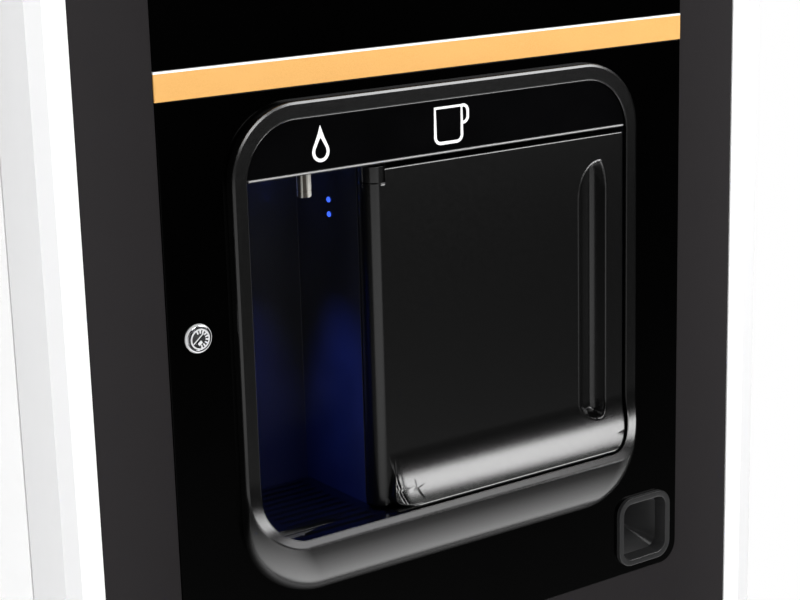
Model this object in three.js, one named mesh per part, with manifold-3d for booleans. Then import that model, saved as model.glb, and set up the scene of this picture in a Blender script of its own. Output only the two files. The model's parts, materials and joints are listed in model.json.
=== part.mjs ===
// A free-standing hot coffee vending machine, as an assembly of separate pieces.
// Millimetres, +Z up, +X to the right of someone facing the machine, +Y into it.
// The origin is on the floor, in the middle of the machine's width and depth.
import * as THREE from "three";
import { mergeVertices } from "three/addons/utils/BufferGeometryUtils.js";
import Module from "manifold-3d";

const wasm = await Module();
wasm.setup();

// ---- Driving dimensions ----
const WIDTH = 650;
const HEIGHT = 1830;
const DEPTH = 735;
const GAP = 0.3; // clearance between pieces that rest against each other
const HALF = WIDTH / 2;
const REAR = DEPTH / 2;
const BAND = 7; // how far the flat part of the bay's band stands in front of the door
const FLARE_RADIUS = 63; // the band and the cup door sweep outward on this radius
const FLARE_DROP = -112; // where the sweep begins, from BAY_LEVEL
const LIP_DROP = -160; // the front edge of the bay's lip, from BAY_LEVEL
const LIP_REACH = BAND + FLARE_RADIUS - Math.sqrt(FLARE_RADIUS ** 2 - (FLARE_DROP - LIP_DROP) ** 2);
const FRONT = -DEPTH / 2 + LIP_REACH; // the plane of the door's face
const SHEET = 2; // steel sheet thickness

// Main door
const DOOR_BOTTOM = 100;
const DOOR_TOP = 1805;
const DOOR_THICK = 52;
const DOOR_REAR = FRONT + DOOR_THICK;
const CABINET_FRONT = DOOR_REAR + 3;
const EDGE_STRIP = 12; // grey outer strip of the door's face
const WHITE_STRIP = 16.8;
const GLASS_HALF = 236.5; // half width of the gloss centre panel
const GLASS_BOTTOM = 716.3;
const GLASS_TOP = 1788;
const GLASS_RADIUS = 17;
const PANEL_THICK = 5;
const STRIPE_BOTTOM = 1156.5;
const STRIPE_TOP = 1176.6;
const HINGE_X = HALF - 8;
const HINGE_Y = DOOR_REAR - 12;
const PIN_RADIUS = 5;

// Bay: heights are measured from BAY_LEVEL
const BAY_LEVEL = 990;
const FLARE_START = BAY_LEVEL + FLARE_DROP;
const BASE_OUTLINE = outline(185.5, 157.5, -203, 54, 60);
const EDGE_OUTLINE = outline(184, 156.5, LIP_DROP, 52, 36);
const INNER_OUTLINE = outline(173, 144.5, -155, 41, 28);
const HOLE_OUTLINE = outline(178.3, 149.8, -160.3, 46, 33);
const GRILLE_TOP = BAY_LEVEL - 156.5;
const GRILLE_THICK = 3;
const GRILLE_RIGHT = -73.5; // clear of the cup door's barrel, so the grille lifts straight out
const GRILLE_REACH = 19.6; // how far the grille's nose stands in front of the door
const SLOT_PITCH = 9.7;
const SLOT_WIDTH = 4;
const NICHE_LEFT = -172;
const PARTITION_LEFT = -68;
const PARTITION_RIGHT = -56;
const BAY_RIGHT = 172;
const BAY_CEILING = BAY_LEVEL + 103;
const LINER_FLOOR = BAY_LEVEL - 178;
const LINER_WALL = 5;
const LINER_REAR = FRONT + 110;

// Cup door
const CUP_DOOR_AXIS_X = -62;
const CUP_DOOR_AXIS_Y = FRONT + 3.5;
const BARREL_RADIUS = 10.5;
const CUP_DOOR_RIGHT = 170.4;
const CUP_DOOR_TOP = BAY_LEVEL + 101;
const CUP_DOOR_BOTTOM = BAY_LEVEL - 153.3;
const KNUCKLE_HEIGHT = 10.2;

// Payment column and lock
const LOCK_X = -213.6;
const LOCK_Z = BAY_LEVEL + 2;
const CAM_ARM = 18; // from the lock's axis to the pin that drives the latch bolt
const PAY_X = 162;
const COIN_CUP_X = 198.6;
const COIN_CUP_Z = BAY_LEVEL - 236.6;
const COIN_CUP_HALF = [28.3, 29.7]; // half the rim's width and height
const COIN_CUP_RIM = 5.5;

// Cabinet interior
const UPPER_SHELF = 1262;
const LOWER_SHELF = 620;
const BULKHEAD_Y = 120;
const TURRET_X = -195;
const TURRET_Y = -50;
const CANISTER_X = [-10, 102];
const BOWL_X = 46;
const CARRIAGE_X = 55;
const CARRIAGE_Z = BAY_LEVEL + 10;
const CARRIAGE_GUIDE = [CARRIAGE_X - 22, CARRIAGE_X + 22, CARRIAGE_Z - 10, CARRIAGE_Z + 18];

// ---- Materials ----
const finish = (colour, roughness, metalness = 0) =>
  new THREE.MeshStandardMaterial({ color: colour, roughness, metalness });
const GREY_PAINT = finish(0xe0e0e0, 0.45);
const WHITE_PAINT = finish(0xfafafa, 0.4);
const CHARCOAL = finish(0x2e2c2d, 0.5);
const GLOSS_BLACK = finish(0x050505, 0.08);
const GOLD = finish(0xe8b968, 0.45, 0.6);
const BLACK_PLASTIC = finish(0x171717, 0.45);
const DARK_GREY_PLASTIC = finish(0x3c3c3e, 0.4);
const WHITE_PLASTIC = finish(0xeeeeea, 0.45);
const CLEAR_PLASTIC = finish(0xb9c4c9, 0.15);
const BLUE_LENS = finish(0x3b6cff, 0.2);
const CHROME = finish(0xd8d8dc, 0.12, 1);
const STEEL = finish(0xb4b6b8, 0.35, 1);
const ZINC = finish(0xa9adb0, 0.5, 0.9);
const BRASS = finish(0xc09a4a, 0.35, 1);
const RUBBER = finish(0x1c1c1c, 0.85);

// ---- Solids from three.js geometry ----
function solid(geometry) {
  const bare = geometry.index ? geometry.toNonIndexed() : geometry.clone();
  bare.deleteAttribute("normal");
  bare.deleteAttribute("uv");
  const merged = mergeVertices(bare, 1e-4);
  const corners = merged.index.array;
  const faces = []; // without those that merging has closed up
  for (let i = 0; i < corners.length; i += 3) {
    const [a, b, c] = corners.slice(i, i + 3);
    if (a !== b && b !== c && c !== a) faces.push(a, b, c);
  }
  return new wasm.Manifold(
    new wasm.Mesh({
      numProp: 3,
      vertProperties: new Float32Array(merged.attributes.position.array),
      triVerts: new Uint32Array(faces),
    }),
  );
}

function box(x0, x1, y0, y1, z0, z1) {
  const shape = new THREE.BoxGeometry(x1 - x0, y1 - y0, z1 - z0);
  return solid(shape.translate((x0 + x1) / 2, (y0 + y1) / 2, (z0 + z1) / 2));
}

function cylinder(axis, at, from, to, radius, sides = 24) {
  const shape = new THREE.CylinderGeometry(radius, radius, to - from, sides);
  shape.translate(0, (from + to) / 2, 0); // three.js cylinders stand along Y
  if (axis === "z") shape.rotateX(Math.PI / 2).translate(at[0], at[1], 0);
  if (axis === "y") shape.translate(at[0], 0, at[1]);
  if (axis === "x") shape.rotateZ(-Math.PI / 2).translate(0, at[0], at[1]);
  return solid(shape);
}

function extrude(shape, depth, curveSegments = 8) {
  return new THREE.ExtrudeGeometry(shape, { depth, bevelEnabled: false, curveSegments });
}

// An outline drawn in X and Z, from y0 to y1.
function extrudeY(shape, y0, y1, curveSegments) {
  return solid(extrude(shape, y1 - y0, curveSegments).rotateX(Math.PI / 2).translate(0, y1, 0));
}

// An outline drawn in X and Y, from z0 to z1.
function extrudeZ(shape, z0, z1, curveSegments) {
  return solid(extrude(shape, z1 - z0, curveSegments).translate(0, 0, z0));
}

// An outline drawn in Y and Z, from x0 to x1.
function extrudeX(shape, x0, x1, curveSegments) {
  const turn = new THREE.Matrix4().makeBasis(
    new THREE.Vector3(0, 1, 0),
    new THREE.Vector3(0, 0, 1),
    new THREE.Vector3(1, 0, 0),
  );
  return solid(extrude(shape, x1 - x0, curveSegments).applyMatrix4(turn).translate(x0, 0, 0));
}

function lathe(points, x, y, sides = 24) {
  const profile = points.map(([radius, height]) => new THREE.Vector2(radius, height));
  return solid(new THREE.LatheGeometry(profile, sides).rotateX(Math.PI / 2).translate(x, y, 0));
}

function roundedRect(x0, x1, z0, z1, radius, shape = new THREE.Shape()) {
  shape.absarc(x1 - radius, z1 - radius, radius, 0, Math.PI / 2);
  shape.absarc(x0 + radius, z1 - radius, radius, Math.PI / 2, Math.PI);
  shape.absarc(x0 + radius, z0 + radius, radius, Math.PI, Math.PI * 1.5);
  shape.absarc(x1 - radius, z0 + radius, radius, Math.PI * 1.5, Math.PI * 2);
  shape.closePath();
  return shape;
}

// Sections of equal point count, joined in turn; the ends are closed, or the last meets the first.
function loft(sections, ring = false) {
  const count = sections[0].length;
  const points = sections.flat();
  const faces = [];
  const spans = ring ? sections.length : sections.length - 1;
  for (let i = 0; i < spans; i++) {
    const here = i * count;
    const next = ((i + 1) % sections.length) * count;
    for (let k = 0; k < count; k++) {
      const l = (k + 1) % count;
      faces.push(here + k, here + l, next + l, here + k, next + l, next + k);
    }
  }
  if (!ring) {
    const last = (sections.length - 1) * count;
    for (let k = 1; k < count - 1; k++) {
      faces.push(0, k + 1, k);
      faces.push(last, last + k, last + k + 1);
    }
  }
  const shape = new THREE.BufferGeometry();
  shape.setAttribute("position", new THREE.Float32BufferAttribute(points.flat(), 3));
  shape.setIndex(faces);
  const made = solid(shape);
  if (made.volume() > 0) return made;
  shape.setIndex(faces.slice().reverse());
  return solid(shape);
}

function join(first, ...others) {
  return others.reduce((all, next) => all.add(next), first);
}

function cut(body, ...tools) {
  return tools.reduce((rest, tool) => rest.subtract(tool), body);
}

const machine = new THREE.Group();

function piece(name, body, material) {
  const made = body.getMesh();
  const shape = new THREE.BufferGeometry();
  shape.setAttribute("position", new THREE.BufferAttribute(new Float32Array(made.vertProperties), 3));
  shape.setIndex(new THREE.BufferAttribute(new Uint32Array(made.triVerts), 1));
  shape.computeVertexNormals();
  const mesh = new THREE.Mesh(shape, material);
  mesh.name = name;
  machine.add(mesh);
}

// ---- Bay outlines ----
// A rounded outline, symmetric about the machine's middle, heights from BAY_LEVEL.
function outline(halfWidth, top, bottom, topRadius, bottomRadius) {
  return { halfWidth, top, bottom, topRadius, bottomRadius };
}

// The point a share of the way round a corner: 0 is top right, then anticlockwise.
function cornerPoint(shape, corner, share) {
  const angle = ((corner + share) * Math.PI) / 2;
  const radius = corner < 2 ? shape.topRadius : shape.bottomRadius;
  const side = corner === 0 || corner === 3 ? 1 : -1;
  const centreX = side * (shape.halfWidth - radius);
  const centreZ = BAY_LEVEL + (corner < 2 ? shape.top - radius : shape.bottom + radius);
  return [centreX + radius * Math.cos(angle), centreZ + radius * Math.sin(angle)];
}

// Points all the way round, the same number on every outline, closer where the band flares.
function pointsRound(shape) {
  const turns = [0, 0.125, 0.25, 0.375, 0.5, 0.625, 0.75, 0.875, 1];
  const alongSide = [0.5, 0.8, 0.9, 0.95];
  const points = [];
  for (let corner = 0; corner < 4; corner++) {
    turns.forEach((share) => points.push(cornerPoint(shape, corner, share)));
    const from = cornerPoint(shape, corner, 1);
    const to = cornerPoint(shape, (corner + 1) % 4, 0);
    let stops = [];
    if (corner === 1) stops = alongSide;
    if (corner === 3) stops = alongSide.map((share) => 1 - share).reverse();
    stops.forEach((share) =>
      points.push([from[0] + (to[0] - from[0]) * share, from[1] + (to[1] - from[1]) * share]),
    );
  }
  return points;
}

function shapeOf(points) {
  return new THREE.Shape(points.map(([x, z]) => new THREE.Vector2(x, z)));
}

// How far the band of the bay, and the cup door, stand in front of the door at a height.
function reachAt(z) {
  const below = Math.max(0, FLARE_START - z);
  return BAND + FLARE_RADIUS - Math.sqrt(FLARE_RADIUS ** 2 - below ** 2);
}

// ---- Main door ----
function doorFrame() {
  const outer = box(-HALF, HALF, FRONT, DOOR_REAR, DOOR_BOTTOM, DOOR_TOP);
  const wall = 2.5;
  const hollow = box(
    -HALF + wall, HALF - wall, FRONT + PANEL_THICK, DOOR_REAR + 1, DOOR_BOTTOM + wall, DOOR_TOP - wall,
  );
  const window = box(
    -HALF + EDGE_STRIP, HALF - EDGE_STRIP, FRONT - 1, FRONT + PANEL_THICK + 1,
    DOOR_BOTTOM + EDGE_STRIP, DOOR_TOP - EDGE_STRIP,
  );
  const pinHole = (z) => cylinder("z", [HINGE_X, HINGE_Y], z - 4, z + 4, PIN_RADIUS + 0.6);
  piece("door_frame", cut(outer, hollow, window, pinHole(DOOR_BOTTOM), pinHole(DOOR_TOP)), GREY_PAINT);
}

function whiteStrips() {
  const outer = HALF - EDGE_STRIP - GAP;
  const inner = outer - WHITE_STRIP;
  for (const [name, side] of [["left", -1], ["right", 1]]) {
    const edges = [side * outer, side * inner].sort((a, b) => a - b);
    const strip = box(
      ...edges, FRONT, FRONT + PANEL_THICK - GAP,
      DOOR_BOTTOM + EDGE_STRIP + GAP, DOOR_TOP - EDGE_STRIP - GAP,
    );
    piece("white_strip_" + name, strip, WHITE_PAINT);
  }
}

function frontPanel() {
  const halfWidth = HALF - EDGE_STRIP - WHITE_STRIP - 1;
  const plate = box(
    -halfWidth, halfWidth, FRONT + 0.8, FRONT + PANEL_THICK - GAP,
    DOOR_BOTTOM + EDGE_STRIP + GAP, DOOR_TOP - EDGE_STRIP - GAP,
  );
  const window = roundedRect(
    -GLASS_HALF - GAP, GLASS_HALF + GAP, GLASS_BOTTOM - GAP, GLASS_TOP + GAP, GLASS_RADIUS,
  );
  piece("front_panel", cut(plate, extrudeY(window, FRONT - 2, FRONT + 9, 6)), CHARCOAL);
}

const DISPLAY = { x0: -200, x1: 80, z0: 1255, z1: 1765 };
const READER = { x0: PAY_X - 44, x1: PAY_X + 44, z0: 1560, z1: 1690 };

function gloss(z0, z1) {
  const whole = extrudeY(
    roundedRect(-GLASS_HALF, GLASS_HALF, GLASS_BOTTOM, GLASS_TOP, GLASS_RADIUS),
    FRONT, FRONT + PANEL_THICK, 6,
  );
  return whole.intersect(box(-HALF, HALF, FRONT - 1, FRONT + 9, z0, z1));
}

function glossPanels() {
  const through = [FRONT - 2, FRONT + PANEL_THICK + 2];
  const upper = cut(
    gloss(STRIPE_TOP + GAP, GLASS_TOP),
    box(DISPLAY.x0 - GAP, DISPLAY.x1 + GAP, ...through, DISPLAY.z0 - GAP, DISPLAY.z1 + GAP),
    box(READER.x0 - GAP, READER.x1 + GAP, ...through, READER.z0 - GAP, READER.z1 + GAP),
    box(PAY_X - 3, PAY_X + 3, ...through, 1434, 1466),
    cylinder("y", [PAY_X, 1340], ...through, 14.5),
  );
  piece("upper_gloss_panel", upper, GLOSS_BLACK);
  const bayHole = extrudeY(shapeOf(pointsRound(HOLE_OUTLINE)), ...through);
  const cupHole = extrudeY(
    roundedRect(COIN_CUP_X - 25.4, COIN_CUP_X + 25.4, COIN_CUP_Z - 27.4, COIN_CUP_Z + 27.4, 13),
    ...through, 4,
  );
  const lower = cut(
    gloss(GLASS_BOTTOM, STRIPE_BOTTOM - GAP), bayHole, cupHole,
    cylinder("y", [LOCK_X, LOCK_Z], ...through, 9.8),
  );
  piece("lower_gloss_panel", lower, GLOSS_BLACK);
  piece("gold_stripe", gloss(STRIPE_BOTTOM, STRIPE_TOP), GOLD);
}

function doorInnerPan() {
  const y0 = FRONT + 46;
  const y1 = y0 + SHEET;
  const plate = box(-HALF + 3, HALF - 3, y0, y1, DOOR_BOTTOM + 3, DOOR_TOP - 3);
  const linerHole = box(-178, 178, y0 - 1, y1 + 1, LINER_FLOOR - 6, BAY_CEILING + 6);
  const spindleHole = cylinder("y", [LOCK_X, LOCK_Z], y0 - 1, y1 + 1, 9);
  const rails = [-11.5, 8.5].map((low) =>
    box(-284, -258, y1 - 0.5, y1 + 22, LOCK_Z + low, LOCK_Z + low + 3),
  );
  piece("door_inner_pan", join(cut(plate, linerHole, spindleHole), ...rails), ZINC);
}

// ---- Bay ----
function bayBezel() {
  const base = pointsRound(BASE_OUTLINE);
  const edge = pointsRound(EDGE_OUTLINE);
  const inner = pointsRound(INNER_OUTLINE);
  const hole = pointsRound(HOLE_OUTLINE).map(([x, z]) => [x * 0.998, z + 0.3]);
  const sections = base.map((start, i) => {
    const edgeReach = reachAt(edge[i][1]);
    const innerReach = reachAt(inner[i][1]);
    // The outside is a quarter ellipse from the front edge round to the door's face.
    const outside = [90, 60, 30, 0].map((degrees) => {
      const turn = THREE.MathUtils.degToRad(degrees);
      return [
        edge[i][0] + (start[0] - edge[i][0]) * Math.sin(turn),
        FRONT - GAP - (edgeReach - GAP) * Math.cos(turn),
        edge[i][1] + (start[1] - edge[i][1]) * Math.sin(turn),
      ];
    });
    return [
      ...outside,
      [inner[i][0], FRONT - innerReach, inner[i][1]],
      [inner[i][0], FRONT - innerReach + 3, inner[i][1]],
      [hole[i][0], FRONT - innerReach + 3, hole[i][1]],
      [hole[i][0], FRONT - GAP, hole[i][1]],
    ];
  });
  piece("bay_bezel", loft(sections, true), BLACK_PLASTIC);
}

function iconPanel() {
  const inner = outline(172.6, 144.1, -155, 40.6, 28);
  const shape = extrudeY(shapeOf(pointsRound(inner)), FRONT - 5, FRONT + 4);
  const top = box(-HALF, HALF, FRONT - 9, FRONT + 9, BAY_LEVEL + 106.6, BAY_LEVEL + 200);
  piece("icon_panel", shape.intersect(top), GLOSS_BLACK);
  const trim = box(-171, 171, FRONT - 6, FRONT + 4, BAY_LEVEL + 104.6, BAY_LEVEL + 106.3);
  piece("icon_trim", trim, CHROME);
}

function bayLiner() {
  const shell = box(
    -177, 177, FRONT + PANEL_THICK + GAP, LINER_REAR, LINER_FLOOR - LINER_WALL, BAY_CEILING + LINER_WALL,
  );
  const collarOutside = outline(177.6, 149.2, -159.6, 45.4, 32.4);
  const collarInside = outline(173.6, 145.2, -155.6, 41.4, 28.4);
  const collar = cut(
    extrudeY(shapeOf(pointsRound(collarOutside)), FRONT - 3.5, FRONT + PANEL_THICK + 1),
    extrudeY(shapeOf(pointsRound(collarInside)), FRONT - 5, FRONT + PANEL_THICK + 2),
    box(-HALF, HALF, FRONT - 9, FRONT + 9, BAY_LEVEL - 200, BAY_LEVEL - 118),
  );
  const mouth = FRONT + PANEL_THICK - 1;
  const niche = box(NICHE_LEFT, PARTITION_LEFT, mouth, FRONT + 96, LINER_FLOOR, BAY_CEILING);
  const station = box(PARTITION_RIGHT, BAY_RIGHT, mouth, FRONT + 105, LINER_FLOOR, BAY_CEILING);
  const hingeRoom = box(
    PARTITION_LEFT - 1, PARTITION_RIGHT + 1, mouth, FRONT + 15.5, LINER_FLOOR, BAY_CEILING,
  );
  const carriageWindow = box(4, 106, FRONT + 100, LINER_REAR + 2, BAY_LEVEL - 6, BAY_LEVEL + 92);
  piece("bay_liner", join(cut(shell, niche, station, hingeRoom, carriageWindow), collar), BLACK_PLASTIC);
}

function bottleNozzle() {
  const [x, y] = [-106, FRONT + 26];
  const tube = cylinder("z", [x, y], BAY_LEVEL + 82, BAY_CEILING - GAP, 5.2, 20);
  const bore = cylinder("z", [x, y], BAY_LEVEL + 80, BAY_LEVEL + 96, 2.8, 20);
  piece("bottle_nozzle", cut(tube, bore), STEEL);
}

function nicheLight() {
  const lens = box(-163, -77, FRONT + 70, FRONT + 82, BAY_CEILING - 5, BAY_CEILING - GAP);
  piece("niche_light", lens, BLUE_LENS);
}

function dripTray() {
  const [x0, x1] = [NICHE_LEFT + 1, GRILLE_RIGHT - 1];
  const [y0, y1] = [FRONT + PANEL_THICK + 1, FRONT + 94];
  const top = GRILLE_TOP - GRILLE_THICK - GAP;
  const tray = box(x0, x1, y0, y1, LINER_FLOOR + GAP, top);
  const bowl = box(x0 + 2, x1 - 2, y0 + 2, y1 - 2, LINER_FLOOR + 2.5, top + 1);
  piece("drip_tray", cut(tray, bowl), BLACK_PLASTIC);
}

// Slots that run along X, one behind another.
function slots(x0, x1, y0, y1) {
  const tools = [];
  for (let y = y0; y <= y1; y += SLOT_PITCH) {
    tools.push(box(x0, x1, y, y + SLOT_WIDTH, GRILLE_TOP - GRILLE_THICK - 1, GRILLE_TOP + 1));
  }
  return tools;
}

function dripGrille() {
  const front = FRONT - GRILLE_REACH;
  const rear = FRONT + PANEL_THICK + 1;
  const low = GRILLE_TOP - GRILLE_THICK;
  const noseLeft = -150;
  const noseRadius = 8;
  const nose = new THREE.Shape();
  nose.moveTo(noseLeft, rear + 6);
  nose.absarc(noseLeft + noseRadius, front + noseRadius, noseRadius, Math.PI, Math.PI * 1.5);
  nose.lineTo(GRILLE_RIGHT, front);
  nose.lineTo(GRILLE_RIGHT, rear + 6);
  const plate = join(
    box(NICHE_LEFT + 1, GRILLE_RIGHT, rear, FRONT + 94, low, GRILLE_TOP),
    extrudeZ(nose, low, GRILLE_TOP, 8),
  );
  const openings = slots(noseLeft + 8, GRILLE_RIGHT - 4, FRONT - 12, FRONT + 88);
  piece("drip_grille", cut(plate, ...openings), BLACK_PLASTIC);
}

// The cup station's floor, with a strip and a raised rib that edge the drip grille.
function cupPlatform() {
  const low = GRILLE_TOP - GRILLE_THICK;
  const rear = FRONT + PANEL_THICK + 1;
  const left = GRILLE_RIGHT + GAP;
  const stock = join(
    box(PARTITION_RIGHT + 1, BAY_RIGHT - 1, rear, FRONT + 104, low, GRILLE_TOP),
    box(left, 150, FRONT - 10, rear + 1, low, GRILLE_TOP),
    box(left, -60, FRONT - GRILLE_REACH, rear + 1, low, GRILLE_TOP),
    box(left, PARTITION_LEFT - GAP, rear, FRONT + 94, low, GRILLE_TOP),
    box(-64.4, -63, FRONT - GRILLE_REACH, FRONT + 14, GRILLE_TOP - 0.5, GRILLE_TOP + 1.2),
  );
  piece("cup_platform", cut(stock, ...slots(0, 116, FRONT + 24, FRONT + 92)), BLACK_PLASTIC);
}

// ---- Cup door ----
const GROOVE = { left: 124.8, right: 151.6, deepest: 145, top: BAY_LEVEL + 80, bottom: BAY_LEVEL - 127 };

// A scoop that runs down the right of the cup door, deepest near its right side.
function fingerGroove() {
  const depth = 11;
  const topTaper = 27;
  const bottomTaper = 16;
  const across = [
    [GROOVE.right, -14], [GROOVE.right, 0], [GROOVE.right - 1.2, depth * 0.75], [GROOVE.deepest, depth],
    [138, depth * 0.82], [131.5, depth * 0.45], [GROOVE.left, 0], [GROOVE.left, -14],
  ];
  const section = (z, share) =>
    across.map(([x, into]) => [
      GROOVE.deepest + (x - GROOVE.deepest) * share,
      FRONT - BAND + (into > 0 ? into * share : into),
      z,
    ]);
  const sections = [];
  for (const climb of [0.985, 0.9, 0.75, 0.5, 0.25, 0]) {
    sections.push(section(GROOVE.top - topTaper * (1 - climb), Math.sqrt(1 - climb ** 2)));
  }
  for (const climb of [0, 0.3, 0.6, 0.85, 0.97]) {
    sections.push(section(GROOVE.bottom + bottomTaper * (1 - climb), Math.sqrt(1 - climb ** 2)));
  }
  return loft(sections);
}

function cupDoor() {
  const [left, right] = [CUP_DOOR_AXIS_X, CUP_DOOR_RIGHT];
  const [low, high] = [CUP_DOOR_BOTTOM, CUP_DOOR_TOP];
  const front = FRONT - BAND;
  const back = FRONT + 14;
  const plan = new THREE.Shape();
  plan.moveTo(left, front);
  plan.lineTo(right, front);
  plan.lineTo(right, back);
  plan.lineTo(left, back);
  plan.absarc(left, CUP_DOOR_AXIS_Y, BARREL_RADIUS, Math.PI / 2, Math.PI * 1.5);
  const slab = extrudeZ(plan, low, high, 10);

  // The bottom sweeps outward, and its left end is rounded like the bow of a boat.
  const sweep = new THREE.Shape();
  sweep.moveTo(front + 3, FLARE_START);
  for (let step = 0; step <= 8; step++) {
    const z = FLARE_START + ((low - FLARE_START) * step) / 8;
    sweep.lineTo(FRONT - reachAt(z), z);
  }
  sweep.lineTo(front + 3, low);
  const bow = new THREE.Shape();
  bow.moveTo(right, front + 4);
  bow.lineTo(left - 2, front + 4);
  bow.absellipse(left + 28, front + 4, 30, 24, Math.PI, Math.PI * 1.5);
  bow.lineTo(right, front - 20);
  const bulge = extrudeX(sweep, left - 12, right).intersect(extrudeZ(bow, low - 1, FLARE_START + 1, 8));

  const face = new THREE.Shape();
  face.moveTo(left - 12, high);
  face.lineTo(left - 12, low + 6);
  face.absarc(left - 6, low + 6, 6, Math.PI, Math.PI * 1.5);
  face.absarc(right - 24, low + 24, 24, Math.PI * 1.5, Math.PI * 2);
  face.lineTo(right, high);
  const trimmed = join(slab, bulge).intersect(extrudeY(face, FRONT - 40, FRONT + 40, 6));

  // The notch for the hinge knuckle is round in front and square behind.
  const notchLow = high - KNUCKLE_HEIGHT;
  const notch = join(
    box(left - 13, left, front - 1, back + 1, notchLow, high + 1),
    box(left - 1, left + BARREL_RADIUS, CUP_DOOR_AXIS_Y, back + 1, notchLow, high + 1),
    cylinder("z", [left, CUP_DOOR_AXIS_Y], notchLow, high + 1, BARREL_RADIUS + 0.6, 32),
  );
  const bore = cylinder("z", [left, CUP_DOOR_AXIS_Y], low - 1, high + 1, 3.6, 16);
  const hollow = box(left + 16, GROOVE.left - 7, FRONT + 0.5, back + 1, low + 26, high - 8);
  piece("cup_door", cut(trimmed, notch, bore, hollow, fingerGroove()), BLACK_PLASTIC);
}

function cupDoorHingePost() {
  const [x, y] = [CUP_DOOR_AXIS_X, CUP_DOOR_AXIS_Y];
  const low = CUP_DOOR_TOP - KNUCKLE_HEIGHT + 0.6;
  const knuckle = cylinder("z", [x, y], low, BAY_CEILING - GAP, BARREL_RADIUS, 24);
  // Only its rear is square: the door's shoulder swings round the front of the knuckle.
  const lug = box(x - 2, x + BARREL_RADIUS - 1, y, y + BARREL_RADIUS, low, BAY_CEILING - GAP);
  const pin = cylinder("z", [x, y], CUP_DOOR_BOTTOM - 1.7, low + 2, 3, 16);
  piece("cup_door_hinge_post", join(knuckle, lug, pin), BLACK_PLASTIC);
}

// ---- Lock and payment ----
function lock() {
  const at = [LOCK_X, LOCK_Z];
  const flange = cylinder("y", at, FRONT - 2.4, FRONT - GAP, 10.35, 32);
  const barrel = cylinder("y", at, FRONT - 1, FRONT + 40, 9.5, 32);
  const bore = cylinder("y", at, FRONT - 6, FRONT + 42, 7.75, 32);
  piece("lock_cylinder", cut(join(flange, barrel), bore), CHROME);
  const plug = cylinder("y", at, FRONT - 3.4, FRONT + 54, 7.45, 32);
  const slant = THREE.MathUtils.degToRad(40);
  const slot = new THREE.BoxGeometry(9, 6, 1.6).rotateY(-slant).translate(LOCK_X, FRONT - 1.5, LOCK_Z);
  const keyhole = solid(slot);
  const cam = box(LOCK_X - 7, LOCK_X + 7, FRONT + 50, FRONT + 54, LOCK_Z - CAM_ARM - 5, LOCK_Z + 7);
  const pin = cylinder("y", [LOCK_X, LOCK_Z - CAM_ARM], FRONT + 53, FRONT + 62, 2.5, 16);
  piece("lock_plug", join(cut(plug, keyhole), cam, pin), CHROME);
  const boltY = FRONT + 58;
  const bolt = join(
    box(-292, -196, boltY, boltY + 8, LOCK_Z - 8, LOCK_Z + 8),
    box(-236, -196, boltY, boltY + 3, LOCK_Z - 32, LOCK_Z + 8),
  );
  // The cam's pin runs in this window and carries the bolt with it.
  const window = box(LOCK_X - 7, LOCK_X + 3.2, boltY - 1, boltY + 9, LOCK_Z - CAM_ARM - 3.5, LOCK_Z + 3.5);
  piece("latch_bolt", cut(bolt, window), STEEL);
}

// A tapered pocket: a rounded mouth on one plane that narrows to a smaller floor on another.
function pocket(mouth, mouthY, floor, floorY) {
  const ring = (shape, y) => {
    const around = roundedRect(...shape).getSpacedPoints(32).slice(0, 32);
    return around.map((point) => [point.x, y, point.y]);
  };
  return loft([ring(mouth, mouthY), ring(floor, floorY)]);
}

function coinCup() {
  const [x, z] = [COIN_CUP_X, COIN_CUP_Z];
  const [halfWidth, halfHeight] = COIN_CUP_HALF;
  const around = (inset, radius) =>
    [x - halfWidth + inset, x + halfWidth - inset, z - halfHeight + inset, z + halfHeight - inset, radius];
  const rim = extrudeY(roundedRect(...around(0, 14)), FRONT - 4, FRONT - GAP, 6);
  const body = extrudeY(roundedRect(...around(3.4, 12)), FRONT - 1, FRONT + 40, 6);
  const mouth = around(COIN_CUP_RIM, 10);
  const floor = [x - 15, x + 17, z - 20, z + 8, 7];
  piece("coin_cup", cut(join(rim, body), pocket(mouth, FRONT - 4.5, floor, FRONT + 35)), DARK_GREY_PLASTIC);
}

function payment() {
  const { x0, x1, z0, z1 } = READER;
  const reader = box(x0, x1, FRONT - 12, FRONT + 36, z0, z1);
  const tapArea = box(x0 + 8, x1 - 8, FRONT - 13, FRONT - 11, z0 + 48, z1 - 8);
  const cardSlot = box(x0 + 16, x1 - 16, FRONT - 13, FRONT + 10, z0 + 22, z0 + 24.5);
  piece("card_reader", cut(reader, tapArea, cardSlot), BLACK_PLASTIC);
  const plate = extrudeY(roundedRect(PAY_X - 35, PAY_X + 35, 1400, 1500, 10), FRONT - 5, FRONT - GAP, 4);
  piece("coin_slot_plate", cut(plate, box(PAY_X - 1.6, PAY_X + 1.6, FRONT - 9, FRONT + 9, 1435, 1465)), STEEL);
  const cap = cylinder("y", [PAY_X, 1340], FRONT - 5, FRONT + 12, 14, 28);
  const stem = cylinder("y", [PAY_X, 1340], FRONT + 11, FRONT + 30, 5, 12);
  piece("coin_return_button", join(cap, stem), STEEL);
  piece("touch_display", box(
    DISPLAY.x0, DISPLAY.x1, FRONT + 0.4, FRONT + 40, DISPLAY.z0, DISPLAY.z1,
  ), GLOSS_BLACK);
  const rear = FRONT + 48 + GAP;
  const mechanism = join(
    box(110, 230, rear, rear + 70, 1300, 1490),
    box(120, 220, rear, rear + 55, 1180, 1301),
  );
  piece("coin_mechanism", mechanism, WHITE_PLASTIC);
  const coinBox = box(110, 270, rear, rear + 100, 560, 690);
  piece("coin_box", cut(coinBox, box(113, 267, rear + 3, rear + 97, 563, 691)), ZINC);
}

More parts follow.
